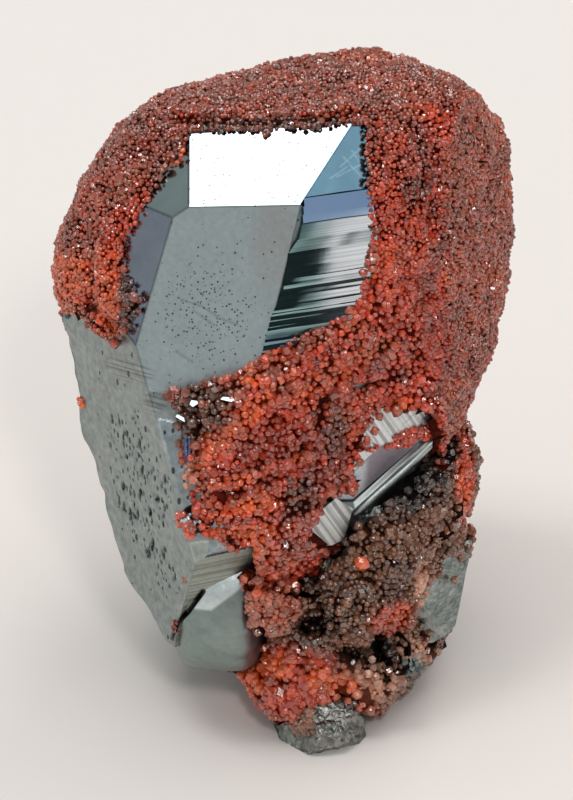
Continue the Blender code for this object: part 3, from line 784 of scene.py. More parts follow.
# %% The mirror steps
number = np.arange(len(strips) - 1)
(low_a, low_u), (high_a, high_u) = strip_edge(number), strip_edge(number + 1)
tip = np.array([np.interp(a, TIPS_AT, strips[::-1][k + 1, 1:])
                for k, a in zip(number, (low_a + high_a) / 2)])
uneven = hills(np.stack([low_a / 0.9, low_u / 0.5, 0 * low_a], axis=-1), 1.0, 22)
tip = tip + TIP_WANDER * uneven
half_lift = np.tan(np.radians(tip)) * (high_u - low_u) / 2
sheet_across = np.stack([low_a, high_a], axis=1).reshape(-1, STRIATED_COLUMNS)
sheet_up = np.stack([low_u, high_u], axis=1).reshape(-1, STRIATED_COLUMNS)
lift = np.stack([half_lift, -half_lift], axis=1).reshape(-1, STRIATED_COLUMNS) + STRIP_LIFT
stripes = crystal_surface(sheet_across, sheet_up,
                          without=("blue_bevel", "bright_bevel", "front"))
stripes = stripes + NORMALS[FACE["striated"]] * lift[..., None]
stripe_tint = tinted(np.broadcast_to(linear("e2e8ee"), stripes.shape), "8fb0b0",
                     ramp(sheet_across, 3.2, 1.0))
blue = ramp(sheet_up - STRIP_RISE * sheet_across, 27.0, 27.2)  # the tarnished steps at the top
blue = np.maximum(blue, 0.7 * patch(sheet_across, sheet_up, -0.6, 20.3, 1.0, 0.5))
stripe_tint = tinted(stripe_tint, "7487a0", blue)
level = LEVEL_PER_MM * 1.6 * (sheet_up - STRIP_RISE * sheet_across)
make_piece("striated_face", stripes.reshape(-1, 3), sheet_faces(*sheet_up.shape), [MIRROR],
           "hematite", tint=stripe_tint.reshape(-1, 3), stripe=level.ravel(),
           striped=(0.3 * (1 - blue)).ravel())

# %% [markdown]
# ## The bar
#
# Under the notch in the lower striated face runs a rounded bar of hematite, like a worn step. It
# is a round profile that follows the edge of the crystal and thins out at both ends.

# %% The bar
BAR_ENDS = ((4.1, 9.65), (9.2, 14.35))
BAR_RADIUS = 0.3
BAR_SWAY = 0.05
BAR_ROWS, BAR_COLUMNS = 60, 24

along = np.linspace(0, 1, BAR_ROWS)[:, None]
round_it = np.linspace(0, 2 * np.pi, BAR_COLUMNS, endpoint=False)[None, :]
bar_a = BAR_ENDS[0][0] + along * (BAR_ENDS[1][0] - BAR_ENDS[0][0])
bar_u = BAR_ENDS[0][1] + along * (BAR_ENDS[1][1] - BAR_ENDS[0][1])
bar_u = bar_u + BAR_SWAY * np.sin(along * 7)
spine = crystal_surface(bar_a[:, 0], bar_u[:, 0])
forward = (spine[-1] - spine[0]) / np.linalg.norm(spine[-1] - spine[0])
sideways = np.cross(forward, LOOK)
sideways = sideways / np.linalg.norm(sideways)
outwards = np.cross(sideways, forward)
thick = BAR_RADIUS * np.sqrt(np.clip(1 - (2 * along - 1) ** 8, 1e-4, 1))
bar_at = spine[:, None] + thick[..., None] * (
    np.cos(round_it)[..., None] * sideways + np.sin(round_it)[..., None] * outwards)


def tube_faces(rows, columns):
    """Quads round a tube, its last column joined to its first."""
    index = np.arange(rows * columns).reshape(rows, columns)
    nxt = np.roll(index, -1, axis=1)
    quads = np.stack([index[:-1], nxt[:-1], nxt[1:], index[1:]], axis=-1)
    return quads.reshape(-1, 4)


bar_tint = np.broadcast_to(linear("c2c7c6"), bar_at.shape)
make_piece("bar", bar_at.reshape(-1, 3), tube_faces(BAR_ROWS, BAR_COLUMNS), [ETCHED],
           "hematite", smooth=True, tint=bar_tint.reshape(-1, 3))

# %% [markdown]
# ## Slabs of crystal
#
# Below the bar the lower striated face comes forward again in a small step. A slab does for it:
# an outline as it is seen, laid on a plane, with some thickness behind it. Four splinters of
# hematite that stick out of the garnets are slabs too. They lie parallel to the bright face, so
# they flash when it does.

# %% Slabs
def slab_faces(number):
    """Triangles of a slab with this many corners: front, back and rim."""
    k = np.arange(number)
    nxt = (k + 1) % number
    front = np.stack([0 * k, k, nxt], axis=1)[1:-1]
    rim = np.concatenate([np.stack([nxt, k, number + k], axis=1),
                          np.stack([nxt, number + k, number + nxt], axis=1)])
    return np.concatenate([front, number + front[:, ::-1], rim])


def slab(name, corners, face, forward, thickness, finish, colour, striped=0.0):
    """A slab with its corners, anticlockwise as seen, on a plane parallel to a crystal face.
    The plane is moved forward so that it stands this far in front of the crystal."""
    corners = np.array(corners)
    start = corners[:, :1] * np.array([1.0, 0, 0]) + corners[:, 1:] * UP
    normal = NORMALS[FACE[face]]
    middle = crystal_surface(*corners.mean(axis=0)[:, None])[0] - LOOK * forward
    front = start + LOOK * ((middle - start) @ normal / (LOOK @ normal))[:, None]
    points = np.concatenate([front, front + LOOK * thickness])
    a, u = seen(points)
    return make_piece(name, points, slab_faces(len(corners)), [finish], "hematite",
                      tint=np.broadcast_to(linear(colour), points.shape),
                      stripe=steep_stripe(a, u), striped=np.full(len(points), striped))


LOW_STEP = ((1.5, 8.5), (2.05, 7.8), (2.8, 7.85), (3.5, 8.2), (4.05, 10.1), (3.0, 10.75),
            (1.5, 9.5))
slab("low_step", LOW_STEP, "striated_low", forward=0.2, thickness=1.6, finish=ETCHED,
     colour="dadede", striped=0.5)
SPLINTERS = (
    ((-5.8, 16.45), (-5.6, 16.3), (-5.3, 16.5), (-5.35, 16.65), (-5.7, 16.7)),
    ((-3.95, 16.75), (-3.3, 16.6), (-3.1, 16.7), (-3.2, 16.85), (-3.8, 16.9)),
    ((-6.65, 15.7), (-6.1, 15.4), (-6.15, 15.65), (-6.55, 15.85)),
    ((-1.35, 7.3), (-1.2, 7.0), (-0.95, 7.3), (-1.15, 7.5)),
)
for k, corners in enumerate(SPLINTERS):
    slab(f"splinter_{k + 1}", corners, "bright_bevel", forward=0.9, thickness=0.5,
         finish=MIRROR, colour="62676c")

# %% [markdown]
# ## The broken base
#
# Below the crystal the hematite is broken off: a rough block, flat underneath where the
# specimen stands. Its form is a ball whose radius is a softened crystal: the radius at which a
# sum of powers, one for each face, comes to one. Scattered cells give it the lumps of a break.

# %% The broken base
BASE_CENTRE = np.array([3.2, 2.6, 8.5])
BASE_SHARPNESS = 22.0
BASE_LUMP, BASE_LUMP_MM = 0.45, 3.0  # their height and their width
BASE_FACES = {
    "front": (-8, 12, 6.3),
    "front_left": (-52, -8, 7.2),
    "left": (-96, 4, 8.6),
    "left_back": (-142, -6, 9.3),
    "back": (176, -10, 8.6),
    "back_right": (138, 6, 8.6),
    "right": (86, 10, 6.4),
    "right_front": (40, 4, 6.4),
    "right_foot": (70, -45, 8.6),
    "back_foot": (170, -52, 12.4),
    "left_foot": (-98, -46, 12.2),
    "top": (0, 88, 8.0),
}


def ball_ways(rows, columns):
    """Unit vectors on a grid of elevations and azimuths, from the lower pole to the upper."""
    elevation = np.linspace(-90, 90, rows)[:, None]
    azimuth = np.linspace(0, 360, columns, endpoint=False)[None, :]
    return direction(azimuth + 0 * elevation, elevation + 0 * azimuth)


def soft_reach(ways, faces, sharpness):
    """The radius r where the sum of (r n . way / d) to the power of sharpness is one."""
    normals, distances = planes_of(faces)
    facing = np.maximum(ways @ normals.T, 0) / distances
    return (facing**sharpness).sum(axis=-1) ** (-1 / sharpness)


ways = ball_ways(150, 260)
reach = soft_reach(ways, BASE_FACES, BASE_SHARPNESS)
spots = BASE_CENTRE + ways * reach[..., None]
nearest, second, _ = scattered(spots, BASE_LUMP_MM, 31)
lump = np.minimum((second - nearest) / BASE_LUMP_MM, 0.5) / 0.5 - 0.6
reach = reach + BASE_LUMP * lump + BASE_LUMP * rough(spots, 2.6, 32, layers=5)
base_at = (BASE_CENTRE + ways * reach[..., None]).reshape(-1, 3)
base_tint = linear("777b78") * (1 + 0.25 * rough(base_at, 1.5, 33))[:, None]
make_piece("broken_base", base_at, tube_faces(*reach.shape), [BROKEN], "hematite",
           tint=base_tint)

# %% [markdown]
# ## The plate and the tip
#
# Two smaller pieces of hematite show at the base: a flat plate on the right, and a blocky tip in
# front that the specimen stands on. They are cut by planes as the large crystal is, then covered
# with small ridges.

# %% The plate and the tip
PLATE_CENTRE = np.array([8.1, -0.2, 7.1])
PLATE_FACES = {
    "face": (46, 22, 2.3), "edge": (88, -14, 2.9), "lower_edge": (66, -50, 3.6),
    "upper_edge": (60, 66, 2.5), "front": (-8, -4, 2.9), "back": (172, 0, 2.0),
    "left": (-90, 0, 3.0), "under": (0, -90, 3.0),
}
TIP_CENTRE = np.array([2.5, -5.9, 1.6])
TIP_FACES = {
    "top": (14, 58, 1.6), "nose": (8, 6, 3.1), "nose_left": (-42, 16, 2.6),
    "nose_right": (58, 14, 2.3), "left": (-76, 20, 2.5), "right": (96, 10, 2.0),
    "back": (180, 0, 4.0), "under_nose": (20, -40, 3.0), "under": (0, -90, 1.6),
}
BLOCK_EDGE = 0.16  # the longest edge of a triangle
RIDGE_MM = 0.45  # from one ridge to the next


def small_block(name, centre, faces, colour, speckle, ridge, hill, seed):
    """A block cut by planes, roughened by hills and by narrow ridges. Gives its points and
    triangles."""
    normals, distances = planes_of(faces)
    points, triangles, owner = solid_of(normals, distances)
    points, triangles, owner = refine(points, triangles, owner,
                                      np.full(len(faces), BLOCK_EDGE))
    on = np.zeros(len(points), int)
    on[triangles] = owner[:, None]
    nearest, second, own = scattered(points, RIDGE_MM, seed)
    relief = ridge * (1.5 * (second - nearest) - 0.25) + hill * rough(points, 1.0, seed + 1)
    placed = centre + points + normals[on] * relief[:, None]
    shade = 1 + speckle * (own - 0.5)
    make_piece(name, placed, triangles, [BROKEN], "hematite",
               tint=linear(colour) * shade[:, None])
    return placed, triangles


small_block("plate", PLATE_CENTRE, PLATE_FACES, "9ea5a1",
            speckle=0.25, ridge=0.03, hill=0.04, seed=41)
tip_points, tip_faces = small_block("tip", TIP_CENTRE, TIP_FACES, "94958f",
                                    speckle=0.6, ridge=0.30, hill=0.12, seed=44)

# %% [markdown]
# ## The shell-like break
#
# At the lower end of the large crystal a piece has sprung off. Hematite breaks like thick glass,
# in shallow shells whose ripples run round the point of the blow. The bulge is a softened
# crystal, and its ripples are a wave of the distance from that point. A crack runs down its left
# side, where the break parts from the etched face.

# %% The break
BREAK_CENTRE = np.array([-4.1, -5.2, 8.6])
BREAK_FACES = {
    "top": (-12, 52, 4.4),
    "front": (-5, 10, 3.2),
    "left": (-80, 0, 2.75),
    "right": (75, 0, 2.6),
    "low_front": (-10, -38, 3.7),
    "bottom": (0, -90, 4.7),
    "back": (180, 0, 3.0),
}
BREAK_SHARPNESS = 6.0
BLOW = np.array([-2.2, -7.6, 12.2])
RIPPLE = 0.045  # the height of a ripple
RIPPLE_TURN = 4.0  # radians to the millimetre, so a ripple is 1.6 mm wide
CRACK_DEPTH = 0.25
BREAK_TOP = ((-5.7, 4.0), (-4.6, 3.9), (-3.1, 5.0), (-1.9, 6.1), (-2.5, 6.9), (-3.8, 6.2),
             (-5.0, 5.3))

ways = ball_ways(200, 320)
reach = soft_reach(ways, BREAK_FACES, BREAK_SHARPNESS)
spots = BREAK_CENTRE + ways * reach[..., None]
ring = np.linalg.norm(spots - BLOW, axis=-1) + 0.5 * rough(spots, 2.5, 51)
ripple = RIPPLE * np.sin(ring * RIPPLE_TURN) * ramp(ring, 2.5, 4.5)
reach = reach + ripple + 0.14 * rough(spots, 2.2, 52)
a, u = seen(spots)
crack = np.max([line(a, u, ends, 0.22) for ends in CRACK], axis=0)
reach = reach - CRACK_DEPTH * crack
break_at = BREAK_CENTRE + ways * reach[..., None]
break_tint = linear("8d9a96") * (1 + 0.12 * rough(break_at, 1.2, 53))[..., None]
# A painted highlight: the top of the break, which faces the lights, is tinted nearly white.
break_tint = tinted(break_tint, "e6eeee", 0.95 * within(a, u, BREAK_TOP, 0.12))
break_tint = tinted(break_tint, "8a868a", 0.7 * ramp(a, -3.2, -2.0))
# Painted shade in the crack.
break_tint = tinted(break_tint, "15120f", crack)
break_tint = tinted(break_tint, "7a3a28", 0.7 * patch(a, u, -6.9, 2.9, 0.3, 0.6))
make_piece("shell_break", break_at.reshape(-1, 3), tube_faces(*reach.shape), [ETCHED],
           "hematite", smooth=True, tint=break_tint.reshape(-1, 3))

# %% [markdown]
# ## Where the garnets grow
#
# The garnet crust and the druse on the base are solids in the imported model, and their outside is
# where the tips of the garnets are. A merged copy of each, split fine enough, gets hills and furrows,
# and then does two jobs: pulled in a little it is the ground between the garnets, darkened as painted
# shade, and its surface says where they stand.

# %% The solids of the garnets
def merged(node):
    """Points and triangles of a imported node, in millimetres, with equal points made one."""
    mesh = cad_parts[node].data
    points = np.empty(len(mesh.vertices) * 3, np.float32)
    mesh.vertices.foreach_get("co", points)
    mesh.calc_loop_triangles()
    faces = np.empty(len(mesh.loop_triangles) * 3, np.int32)
    mesh.loop_triangles.foreach_get("vertices", faces)
    points, index = np.unique(np.round(points.reshape(-1, 3) / MM, 4), axis=0,
                              return_inverse=True)
    faces = index.reshape(-1)[faces].reshape(-1, 3)
    whole = (faces != np.roll(faces, 1, axis=1)).all(axis=1)
    return points, faces[whole].astype(np.int64)


def face_normals(points, faces):
    """Each triangle's normal, as long as twice its area."""
    a, b, c = points[faces[:, 0]], points[faces[:, 1]], points[faces[:, 2]]
    return np.cross(b - a, c - a)


def mean_normals(points, faces):
    """The mean normal of these triangles at each point, and 0 where it has none of them."""
    normals = face_normals(points, faces)
    total = np.zeros_like(points)
    for k in range(3):
        np.add.at(total, faces[:, k], normals)
    return total / np.maximum(np.linalg.norm(total, axis=1, keepdims=True), 1e-9)


# %% [markdown]
# Garnets that grow side by side keep about one garnet's width from each other. Places picked at
# random would clump instead. So far too many are picked, and those too near to another are
# dropped. What is left over is known as Poisson disks.

# %% Poisson disks
def well_spaced(points, spacing):
    """Indices of points of which no two are nearer than spacing. Pairs that are too near are
    found cell by cell, each point has a random rank, and in each round the points that
    outrank all their neighbours stay and their neighbours go."""
    cell = np.floor(points / spacing).astype(np.int64)
    cell -= cell.min(axis=0)
    size = cell.max(axis=0) + 3
    key = ((cell[:, 0] + 1) * size[1] + cell[:, 1] + 1) * size[2] + cell[:, 2] + 1
    order = np.argsort(key, kind="stable")
    key = key[order]
    firsts, seconds = [], []
    for step in np.ndindex(3, 3, 3):
        shift = ((step[0] - 1) * size[1] + step[1] - 1) * size[2] + step[2] - 1
        start = np.searchsorted(key, key + shift, "left")
        count = np.searchsorted(key, key + shift, "right") - start
        first = np.repeat(np.arange(len(key)), count)
        inside = np.arange(count.sum()) - np.repeat(np.cumsum(count) - count, count)
        second = np.repeat(start, count) + inside
        near = np.linalg.norm(points[order[first]] - points[order[second]], axis=1) < spacing
        near &= first != second
        firsts.append(first[near])
        seconds.append(second[near])
    first, second = np.concatenate(firsts), np.concatenate(seconds)
    rank = CHANCE.permutation(len(points))
    open_ = np.ones(len(points), bool)
    kept = np.zeros(len(points), bool)
    while open_.any():
        live = open_[first] & open_[second]
        first, second = first[live], second[live]
        beaten = np.zeros(len(points), bool)
        beaten[first[rank[first] < rank[second]]] = True
        winners = open_ & ~beaten
        kept |= winners
        open_ &= ~winners
        open_[second[winners[first]]] = False
    return order[kept]


# %% Random places on a surface
def on_surface(points, faces, normals, density):
    """Random places on triangles, more on larger ones, with the normals there."""
    area = np.linalg.norm(face_normals(points, faces), axis=1) / 2
    number = int(area.sum() * density)
    share = (np.arange(number) + CHANCE.random(number)) / number
    which = faces[np.searchsorted(np.cumsum(area) / area.sum(), share).clip(0, len(faces) - 1)]
    a, b = CHANCE.random((2, number))
    over = a + b > 1
    a, b = np.where(over, 1 - a, a), np.where(over, 1 - b, b)
    weight = np.stack([1 - a - b, a, b], axis=1)[..., None]
    normal = (normals[which] * weight).sum(axis=1)
    return ((points[which] * weight).sum(axis=1),
            normal / np.maximum(np.linalg.norm(normal, axis=1, keepdims=True), 1e-9), area.sum())


# %% [markdown]
# ## Garnet crystals
#
# Andradite grows as rhombic dodecahedra: twelve equal rhombs, fourteen corners. The garnets that stand
# alone here show trapezohedron faces instead, which makes them rounder: twenty-four kites. Each garnet
# is a copy of one of these two shapes, turned at random, sized, and sunk into the ground.

# %% The two garnet shapes
AXES = np.concatenate([np.eye(3), -np.eye(3)])
CUBE = np.array(list(np.ndindex(2, 2, 2))) * 2.0 - 1
EDGES = np.array([v for v in np.array(list(np.ndindex(3, 3, 3))) - 1.0 if (v == 0).sum() == 1])


def hull_quads(corners, normals):
    """The four corners on each face, in order: those furthest along its normal."""
    quads = []
    for normal in normals:
        on = np.argsort(-(corners @ normal))[:4]
        middle = corners[on].mean(axis=0)
        side = corners[on[0]] - middle
        angle = np.arctan2((corners[on] - middle) @ np.cross(normal, side),
                           (corners[on] - middle) @ side * np.linalg.norm(normal))
        quads.append(on[np.argsort(angle)])
    return np.array(quads)


DODECAHEDRON = np.concatenate([AXES * 2, CUBE])
DODECAHEDRON_FACES = hull_quads(DODECAHEDRON, EDGES)
DODECAHEDRON = DODECAHEDRON / 1.85  # now about as large as a ball with a radius of one
kites = np.array([[s[0] * (1 + (k == 0)), s[1] * (1 + (k == 1)), s[2] * (1 + (k == 2))]
                  for s in CUBE for k in range(3)])
TRAPEZOHEDRON = np.concatenate([AXES * 2, EDGES * 4 / 3, CUBE])
TRAPEZOHEDRON_FACES = hull_quads(TRAPEZOHEDRON, kites)
TRAPEZOHEDRON = TRAPEZOHEDRON / 1.9  # this one too
print("faces of a garnet:", len(DODECAHEDRON_FACES), "or", len(TRAPEZOHEDRON_FACES))

# %% Copies of a shape
def random_turns(number):
    """Rotation matrices from random unit quaternions."""
    q = CHANCE.normal(size=(number, 4))
    w, x, y, z = (q / np.linalg.norm(q, axis=1, keepdims=True)).T
    return np.stack([
        1 - 2 * (y * y + z * z), 2 * (x * y - z * w), 2 * (x * z + y * w),
        2 * (x * y + z * w), 1 - 2 * (x * x + z * z), 2 * (y * z - x * w),
        2 * (x * z - y * w), 2 * (y * z + x * w), 1 - 2 * (x * x + y * y),
    ], axis=1).reshape(-1, 3, 3)


def crystals(shape, shape_faces, middles, diameters):
    """Copies of a shape: each is turned, sized and put at its middle. Gives points, faces and
    which copy each point belongs to."""
    turned = np.einsum("nij,kj->nki", random_turns(len(middles)), shape)
    points = middles[:, None] + turned * (diameters / 2)[:, None, None]
    faces = shape_faces[None] + (np.arange(len(middles)) * len(shape))[:, None, None]
    copy = np.repeat(np.arange(len(middles)), len(shape))
    return points.reshape(-1, 3), faces.reshape(-1, shape_faces.shape[1]), copy


# %% [markdown]
# ## Garnet finish
#
# Andradite has the fire of a gem: an index of refraction of 1.88, so each small face throws a
# hard white glint, broken up by steps too small to model. Light also goes into the crystals and
# comes out orange, which a little scattering under the surface gives. The colour belongs to
# each garnet, from orange-red to deep brown.

# %% Garnet finish
GLOW_MM = 0.15  # how far light goes into a garnet
GLOW_REACH = (1.0, 0.3, 0.15)  # red goes furthest
CLOUD_MM = 0.25
STEP_MM = 0.11  # growth steps on the faces, which break each reflection up


def garnet_material(name, ior, gloss, roughness, scatter):
    """Glossy stone: the tint of each garnet, with a little light inside. A gloss of 0.5 is what
    the index of refraction gives, and more stands for the mirror of hidden back faces."""
    material = bpy.data.materials.new(name)
    material.use_nodes = True
    tree = material.node_tree
    shader = tree.nodes["Principled BSDF"]
    shader.inputs["IOR"].default_value = ior
    shader.inputs["Roughness"].default_value = roughness
    shader.inputs["Specular IOR Level"].default_value = gloss
    shader.inputs["Subsurface Weight"].default_value = scatter
    shader.inputs["Subsurface Scale"].default_value = GLOW_MM * MM
    shader.inputs["Subsurface Radius"].default_value = GLOW_REACH
    colour = add(tree, "ShaderNodeAttribute", attribute_name="tint").outputs["Color"]
    place = add(tree, "ShaderNodeTexCoord").outputs["Object"]
    cloud = add(tree, "ShaderNodeTexNoise",
                {"Vector": place, "Scale": 1 / (CLOUD_MM * MM), "Detail": 2.0})
    shade = add(tree, "ShaderNodeMapRange",
                {"Value": cloud.outputs["Fac"], "From Min": 0.3, "From Max": 0.7,
                 "To Min": 0.75, "To Max": 1.25})
    mixed = add(tree, "ShaderNodeVectorMath",
                {0: colour, 1: shade.outputs["Result"]}, operation="MULTIPLY")
    tree.links.new(mixed.outputs["Vector"], shader.inputs["Base Color"])
    grain = add(tree, "ShaderNodeTexNoise",
                {"Vector": place, "Scale": 1 / (STEP_MM * MM), "Detail": 1.0})
    relief = add(tree, "ShaderNodeBump",
                 {"Height": grain.outputs["Fac"], "Strength": 0.6,
                  "Distance": BUMP_DEPTH * STEP_MM * MM})
    tree.links.new(relief.outputs["Normal"], shader.inputs["Normal"])
    return material


# %% Garnets, and the shade between them
GARNET_IOR = 1.88
# Glassy and deep: hard glints, and a glow from inside.
GARNET = garnet_material("andradite", GARNET_IOR, gloss=0.6, roughness=0.08, scatter=0.3)
# The shade between the garnets: nothing shines there.
GROUND = garnet_material("garnet_ground", ior=1.2, gloss=0.5, roughness=0.8, scatter=0.0)
print("a garnet mirrors head on:", round(((GARNET_IOR - 1) / (GARNET_IOR + 1)) ** 2, 3))

# %% [markdown]
# The colour of a garnet depends on where it grew. Each mass has a base colour, and patches are
# laid over it, each an ellipse as seen from the front. Within a patch the garnets still differ,
# because a random number for each decides how much of the patch it takes on.

# %% Colours by place
ORANGE, RED, DEEP = "e8642c", "d24a2b", "902b16"
ROSE, BROWN, DUN, PALE, BLACK = "a76b52", "5a3626", "88583f", "dca184", "140e0b"


def painted(colour, points, chance, table):
    """Patches laid over a colour. Each takes hold by weight * ellipse * (0.6 + 0.8 chance)."""
    a, u = seen(points)
    for code, weight, *place in table:
        take = weight * patch(a, u, *place) * (0.6 + 0.8 * chance)
        colour = tinted(colour, code, np.clip(take, 0, 1))
    return colour


# %% [markdown]
# ## Growing one garnet mass
#
# The steps are the same for the crust and for the druse: refine the solid, shape its surface,
# sink a copy as dark ground, spread garnets over it as Poisson disks, and size and colour
# them. In a few bare spots the ground dips under the hematite and no garnet grows.
#
# The windows in the crust were cut along the line of sight, so their walls are seen edge on. A
# real crust is thin there and curves down to the bare face. So near a rim the surface is moved
# away from the camera, which leaves the outline of the window as it is, and the ground behind
# the garnets of the wall keeps below the surface. The inner side of the ground has to lie deeper
# there, or it would come out in front of the lowered surface.

# %% The rims of the windows
RIM_HEIGHT = 0.5  # the crust stands this far in front of the bare face at a rim
RIM_WIDTH = 1.5  # and reaches its full height this far from it, as seen
MOST_LOWERED = 1.2
GRAZING = 0.05  # a surface seen nearer to edge on counts as having n . -LOOK = this


def lowered(points, outer, far):
    """Points moved away from the camera: by what they stand too far in front of the crystal,
    times a ramp of how far they are seen from the nearest point of a rim."""
    height = (crystal_surface(*seen(points[outer])) - points[outer]) @ LOOK
    drop = (height - RIM_HEIGHT).clip(0, MOST_LOWERED) * ramp(far[outer], RIM_WIDTH, 0)
    moved = points.copy()
    moved[outer] += drop[:, None] * LOOK
    return moved


def kept_below(points, spots, normals, depth):
    """Points moved away from the camera until each is this deep under the plane through its
    spot: by (n . (p - spot) + depth) / (n . -LOOK), from 0 to MOST_LOWERED."""
    height = ((points - spots) * normals).sum(axis=1) + depth
    push = (height / np.maximum(-normals @ LOOK, GRAZING)).clip(0, MOST_LOWERED)
    return points + push[:, None] * LOOK


# %% The surface and the ground
SINK = 0.36  # the dark ground lies this far under the tips of the garnets
GAP = 0.3  # the solids keep this far from the hematite
INNER_DIP = 0.3  # and the inner side of the ground lies this deep in it
DEEPER_FROM, DEEPEST_FROM = 2.2, 1.0  # how far from a rim it goes deeper, as seen
STEEPEST = 0.35  # of n . LOOK: where that is less, this is taken
THINNEST = 0.2  # of 1 less the cosine between a wall and the surface beside it, in the same way
NEAR_SIDE = -0.2  # of out . LOOK: what is nearer to the camera than this
OUTER_SIDE = -0.1  # of n . LOOK: what faces the camera more than this can be lowered


def shaped(points, faces, inwards, near_side, is_wall, relief):
    """The surface that the garnets stand on, and the ground under them. Its inner side goes
    into the rock: straight back on the side of the camera, so that no window is narrowed, and
    1 / (n . LOOK) times as far near a rim, where n is its normal."""
    wall, rest = mean_normals(points, faces[is_wall]), mean_normals(points, faces[~is_wall])
    at_wall, at_rest = (np.linalg.norm(n, axis=1) > 0.5 for n in (wall, rest))
    rim = np.flatnonzero(at_wall & at_rest & ~inwards)
    between_rims = np.flatnonzero(at_wall & ~at_rest)
    own = np.arange(len(points))  # the point of the rim that each point goes with
    far = np.full(len(points), np.inf)
    if len(rim):
        (a, u), (rim_a, rim_u) = seen(points), seen(points[rim])
        away = np.hypot(a[:, None] - rim_a, u[:, None] - rim_u)
        far = away.min(axis=1)
        own[between_rims] = rim[away[between_rims].argmin(axis=1)]
        outer = np.flatnonzero(at_rest & ~inwards & (rest @ LOOK < OUTER_SIDE))
        points = lowered(points, outer, far)
        rest = mean_normals(points, faces[~is_wall])
    surface = points + rest * np.where(inwards, 0, relief(points))[:, None]
    surface[between_rims] = kept_below(points, surface[own], rest[own], 0)[between_rims]
    deeper = 1 / (rest @ LOOK).clip(STEEPEST, 1) - 1
    straight_back = LOOK * (1 + ramp(far, DEEPER_FROM, DEEPEST_FROM) * deeper)[:, None]
    into_rock = np.where(near_side[:, None], straight_back, rest) * (GAP + INNER_DIP)
    ground = surface + np.where(inwards[:, None], into_rock, -SINK * rest)
    # Where the rim is a thin wedge the ground lies less deep, so that it stays inside.
    opening = np.maximum(1 - (wall * rest[own]).sum(axis=1), THINNEST)
    sink = np.minimum(SINK, MOST_LOWERED * np.maximum(-rest[own] @ LOOK, GRAZING) / opening)
    behind = kept_below(surface - sink[:, None] * wall, surface[own], rest[own], sink)
    outer_wall = at_wall & ~inwards
    ground = np.where(outer_wall[:, None], behind, ground - SINK * wall)
    return surface, ground


# %% Growing
GROUND_EDGE = 0.5  # the longest edge of a triangle of the ground
EDGE_ON = 0.004  # of n . LOOK: the walls of the windows are seen edge on
WALL_SIDE = -0.35  # of out . LOOK: they are nearer to the camera than this
BARE_DIP = 3.5  # in a bare spot the ground lies this far away from the camera
BARE = 0.4  # a garnet grows only where the bare spots are weaker than this
# The ground's colour is darkened as painted shade between the garnets.
GROUND_DEEPER, GROUND_SHADE = 1.3, 0.2  # the power and the factor that darken its colour
TRIES = 110.0  # places to a square millimetre, from which the Poisson disks are left over
OVERLAP = 1.7  # a garnet is this many times as wide as they are apart
SIZE_SPREAD, LEAST_LUCK, MOST_LUCK = 0.22, 0.6, 1.7
SUNK, UNEVEN = 0.42, 0.16  # the share of its width that is sunk in, and how much more, in mm
PROUD = 0.06  # all of them are moved out by this again
SMOOTH_SHARE = 0.45  # of the garnets have edges too blunt to show


def grow(name, node, middle, inside, relief, bare, spacing, size_of, colour_of, parts):
    """The ground of one garnet mass and its garnets. The function inside picks the side that
    faces the rock, from the normals and the ways outwards."""
    points, faces = merged(node)
    points, faces, _ = refine(points, faces, np.zeros(len(faces), int), np.array([GROUND_EDGE]))
    out = (points - middle) / np.linalg.norm(points - middle, axis=1, keepdims=True)
    flat = face_normals(points, faces)
    is_wall = np.abs(flat @ LOOK) < EDGE_ON * np.linalg.norm(flat, axis=1)
    is_wall &= ((out @ LOOK)[faces].max(axis=1) < WALL_SIDE) & (node == "garnet_crust")
    inwards = inside(mean_normals(points, faces[~is_wall]), out)
    surface, ground = shaped(points, faces, inwards, out @ LOOK < NEAR_SIDE, is_wall, relief)
    hole = ramp(patches(*seen(points), bare), 0.3, 0.6)
    ground = ground + LOOK * (BARE_DIP * hole)[:, None]
    normals = mean_normals(surface, faces)
    half = np.full(len(points), 0.5)
    dark = colour_of(points, normals, half) ** GROUND_DEEPER * GROUND_SHADE
    piece = make_piece(name + "_ground", ground, faces, [GROUND], node, smooth=True, tint=dark)
    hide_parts(node)
    outer = is_wall | ~inwards[faces].all(axis=1)
    spots, ways, area = on_surface(surface, faces[outer], normals, TRIES)
    kept = np.flatnonzero(patches(*seen(spots), bare) < BARE)
    spots, ways = spots[kept], ways[kept]
    large = size_of(spots) > 1
    keep = np.concatenate([
        of[well_spaced(spots[of], spacing * size_of(spots[of]).mean())]
        for of in (np.flatnonzero(large), np.flatnonzero(~large)) if len(of)])
    spots, ways = spots[keep], ways[keep]
    print(f"{name}: {area:.0f} mm2 of garnets, {len(spots)} of them")
    luck = np.exp(SIZE_SPREAD * CHANCE.normal(size=len(spots))).clip(LEAST_LUCK, MOST_LUCK)
    size = spacing * OVERLAP * size_of(spots) * luck
    sunk = SUNK * size + UNEVEN * CHANCE.random(len(spots)) - PROUD
    middles = spots - ways * sunk[:, None]
    tints = colour_of(spots, ways, CHANCE.random(len(spots)))
    tints = tints * (0.65 + 0.6 * CHANCE.random(len(spots)))[:, None]
    group = CHANCE.permutation(len(spots)) % parts
    for k in range(parts):
        of = np.flatnonzero(group == k)
        made, quads, copy = crystals(DODECAHEDRON, DODECAHEDRON_FACES, middles[of], size[of])
        smooth = np.repeat(CHANCE.random(len(of)) < SMOOTH_SHARE, len(DODECAHEDRON_FACES))
        make_piece(f"{name}_{k + 1}", made, quads, [GARNET], node, smooth=smooth,
                   tint=tints[of][copy])
    return spots
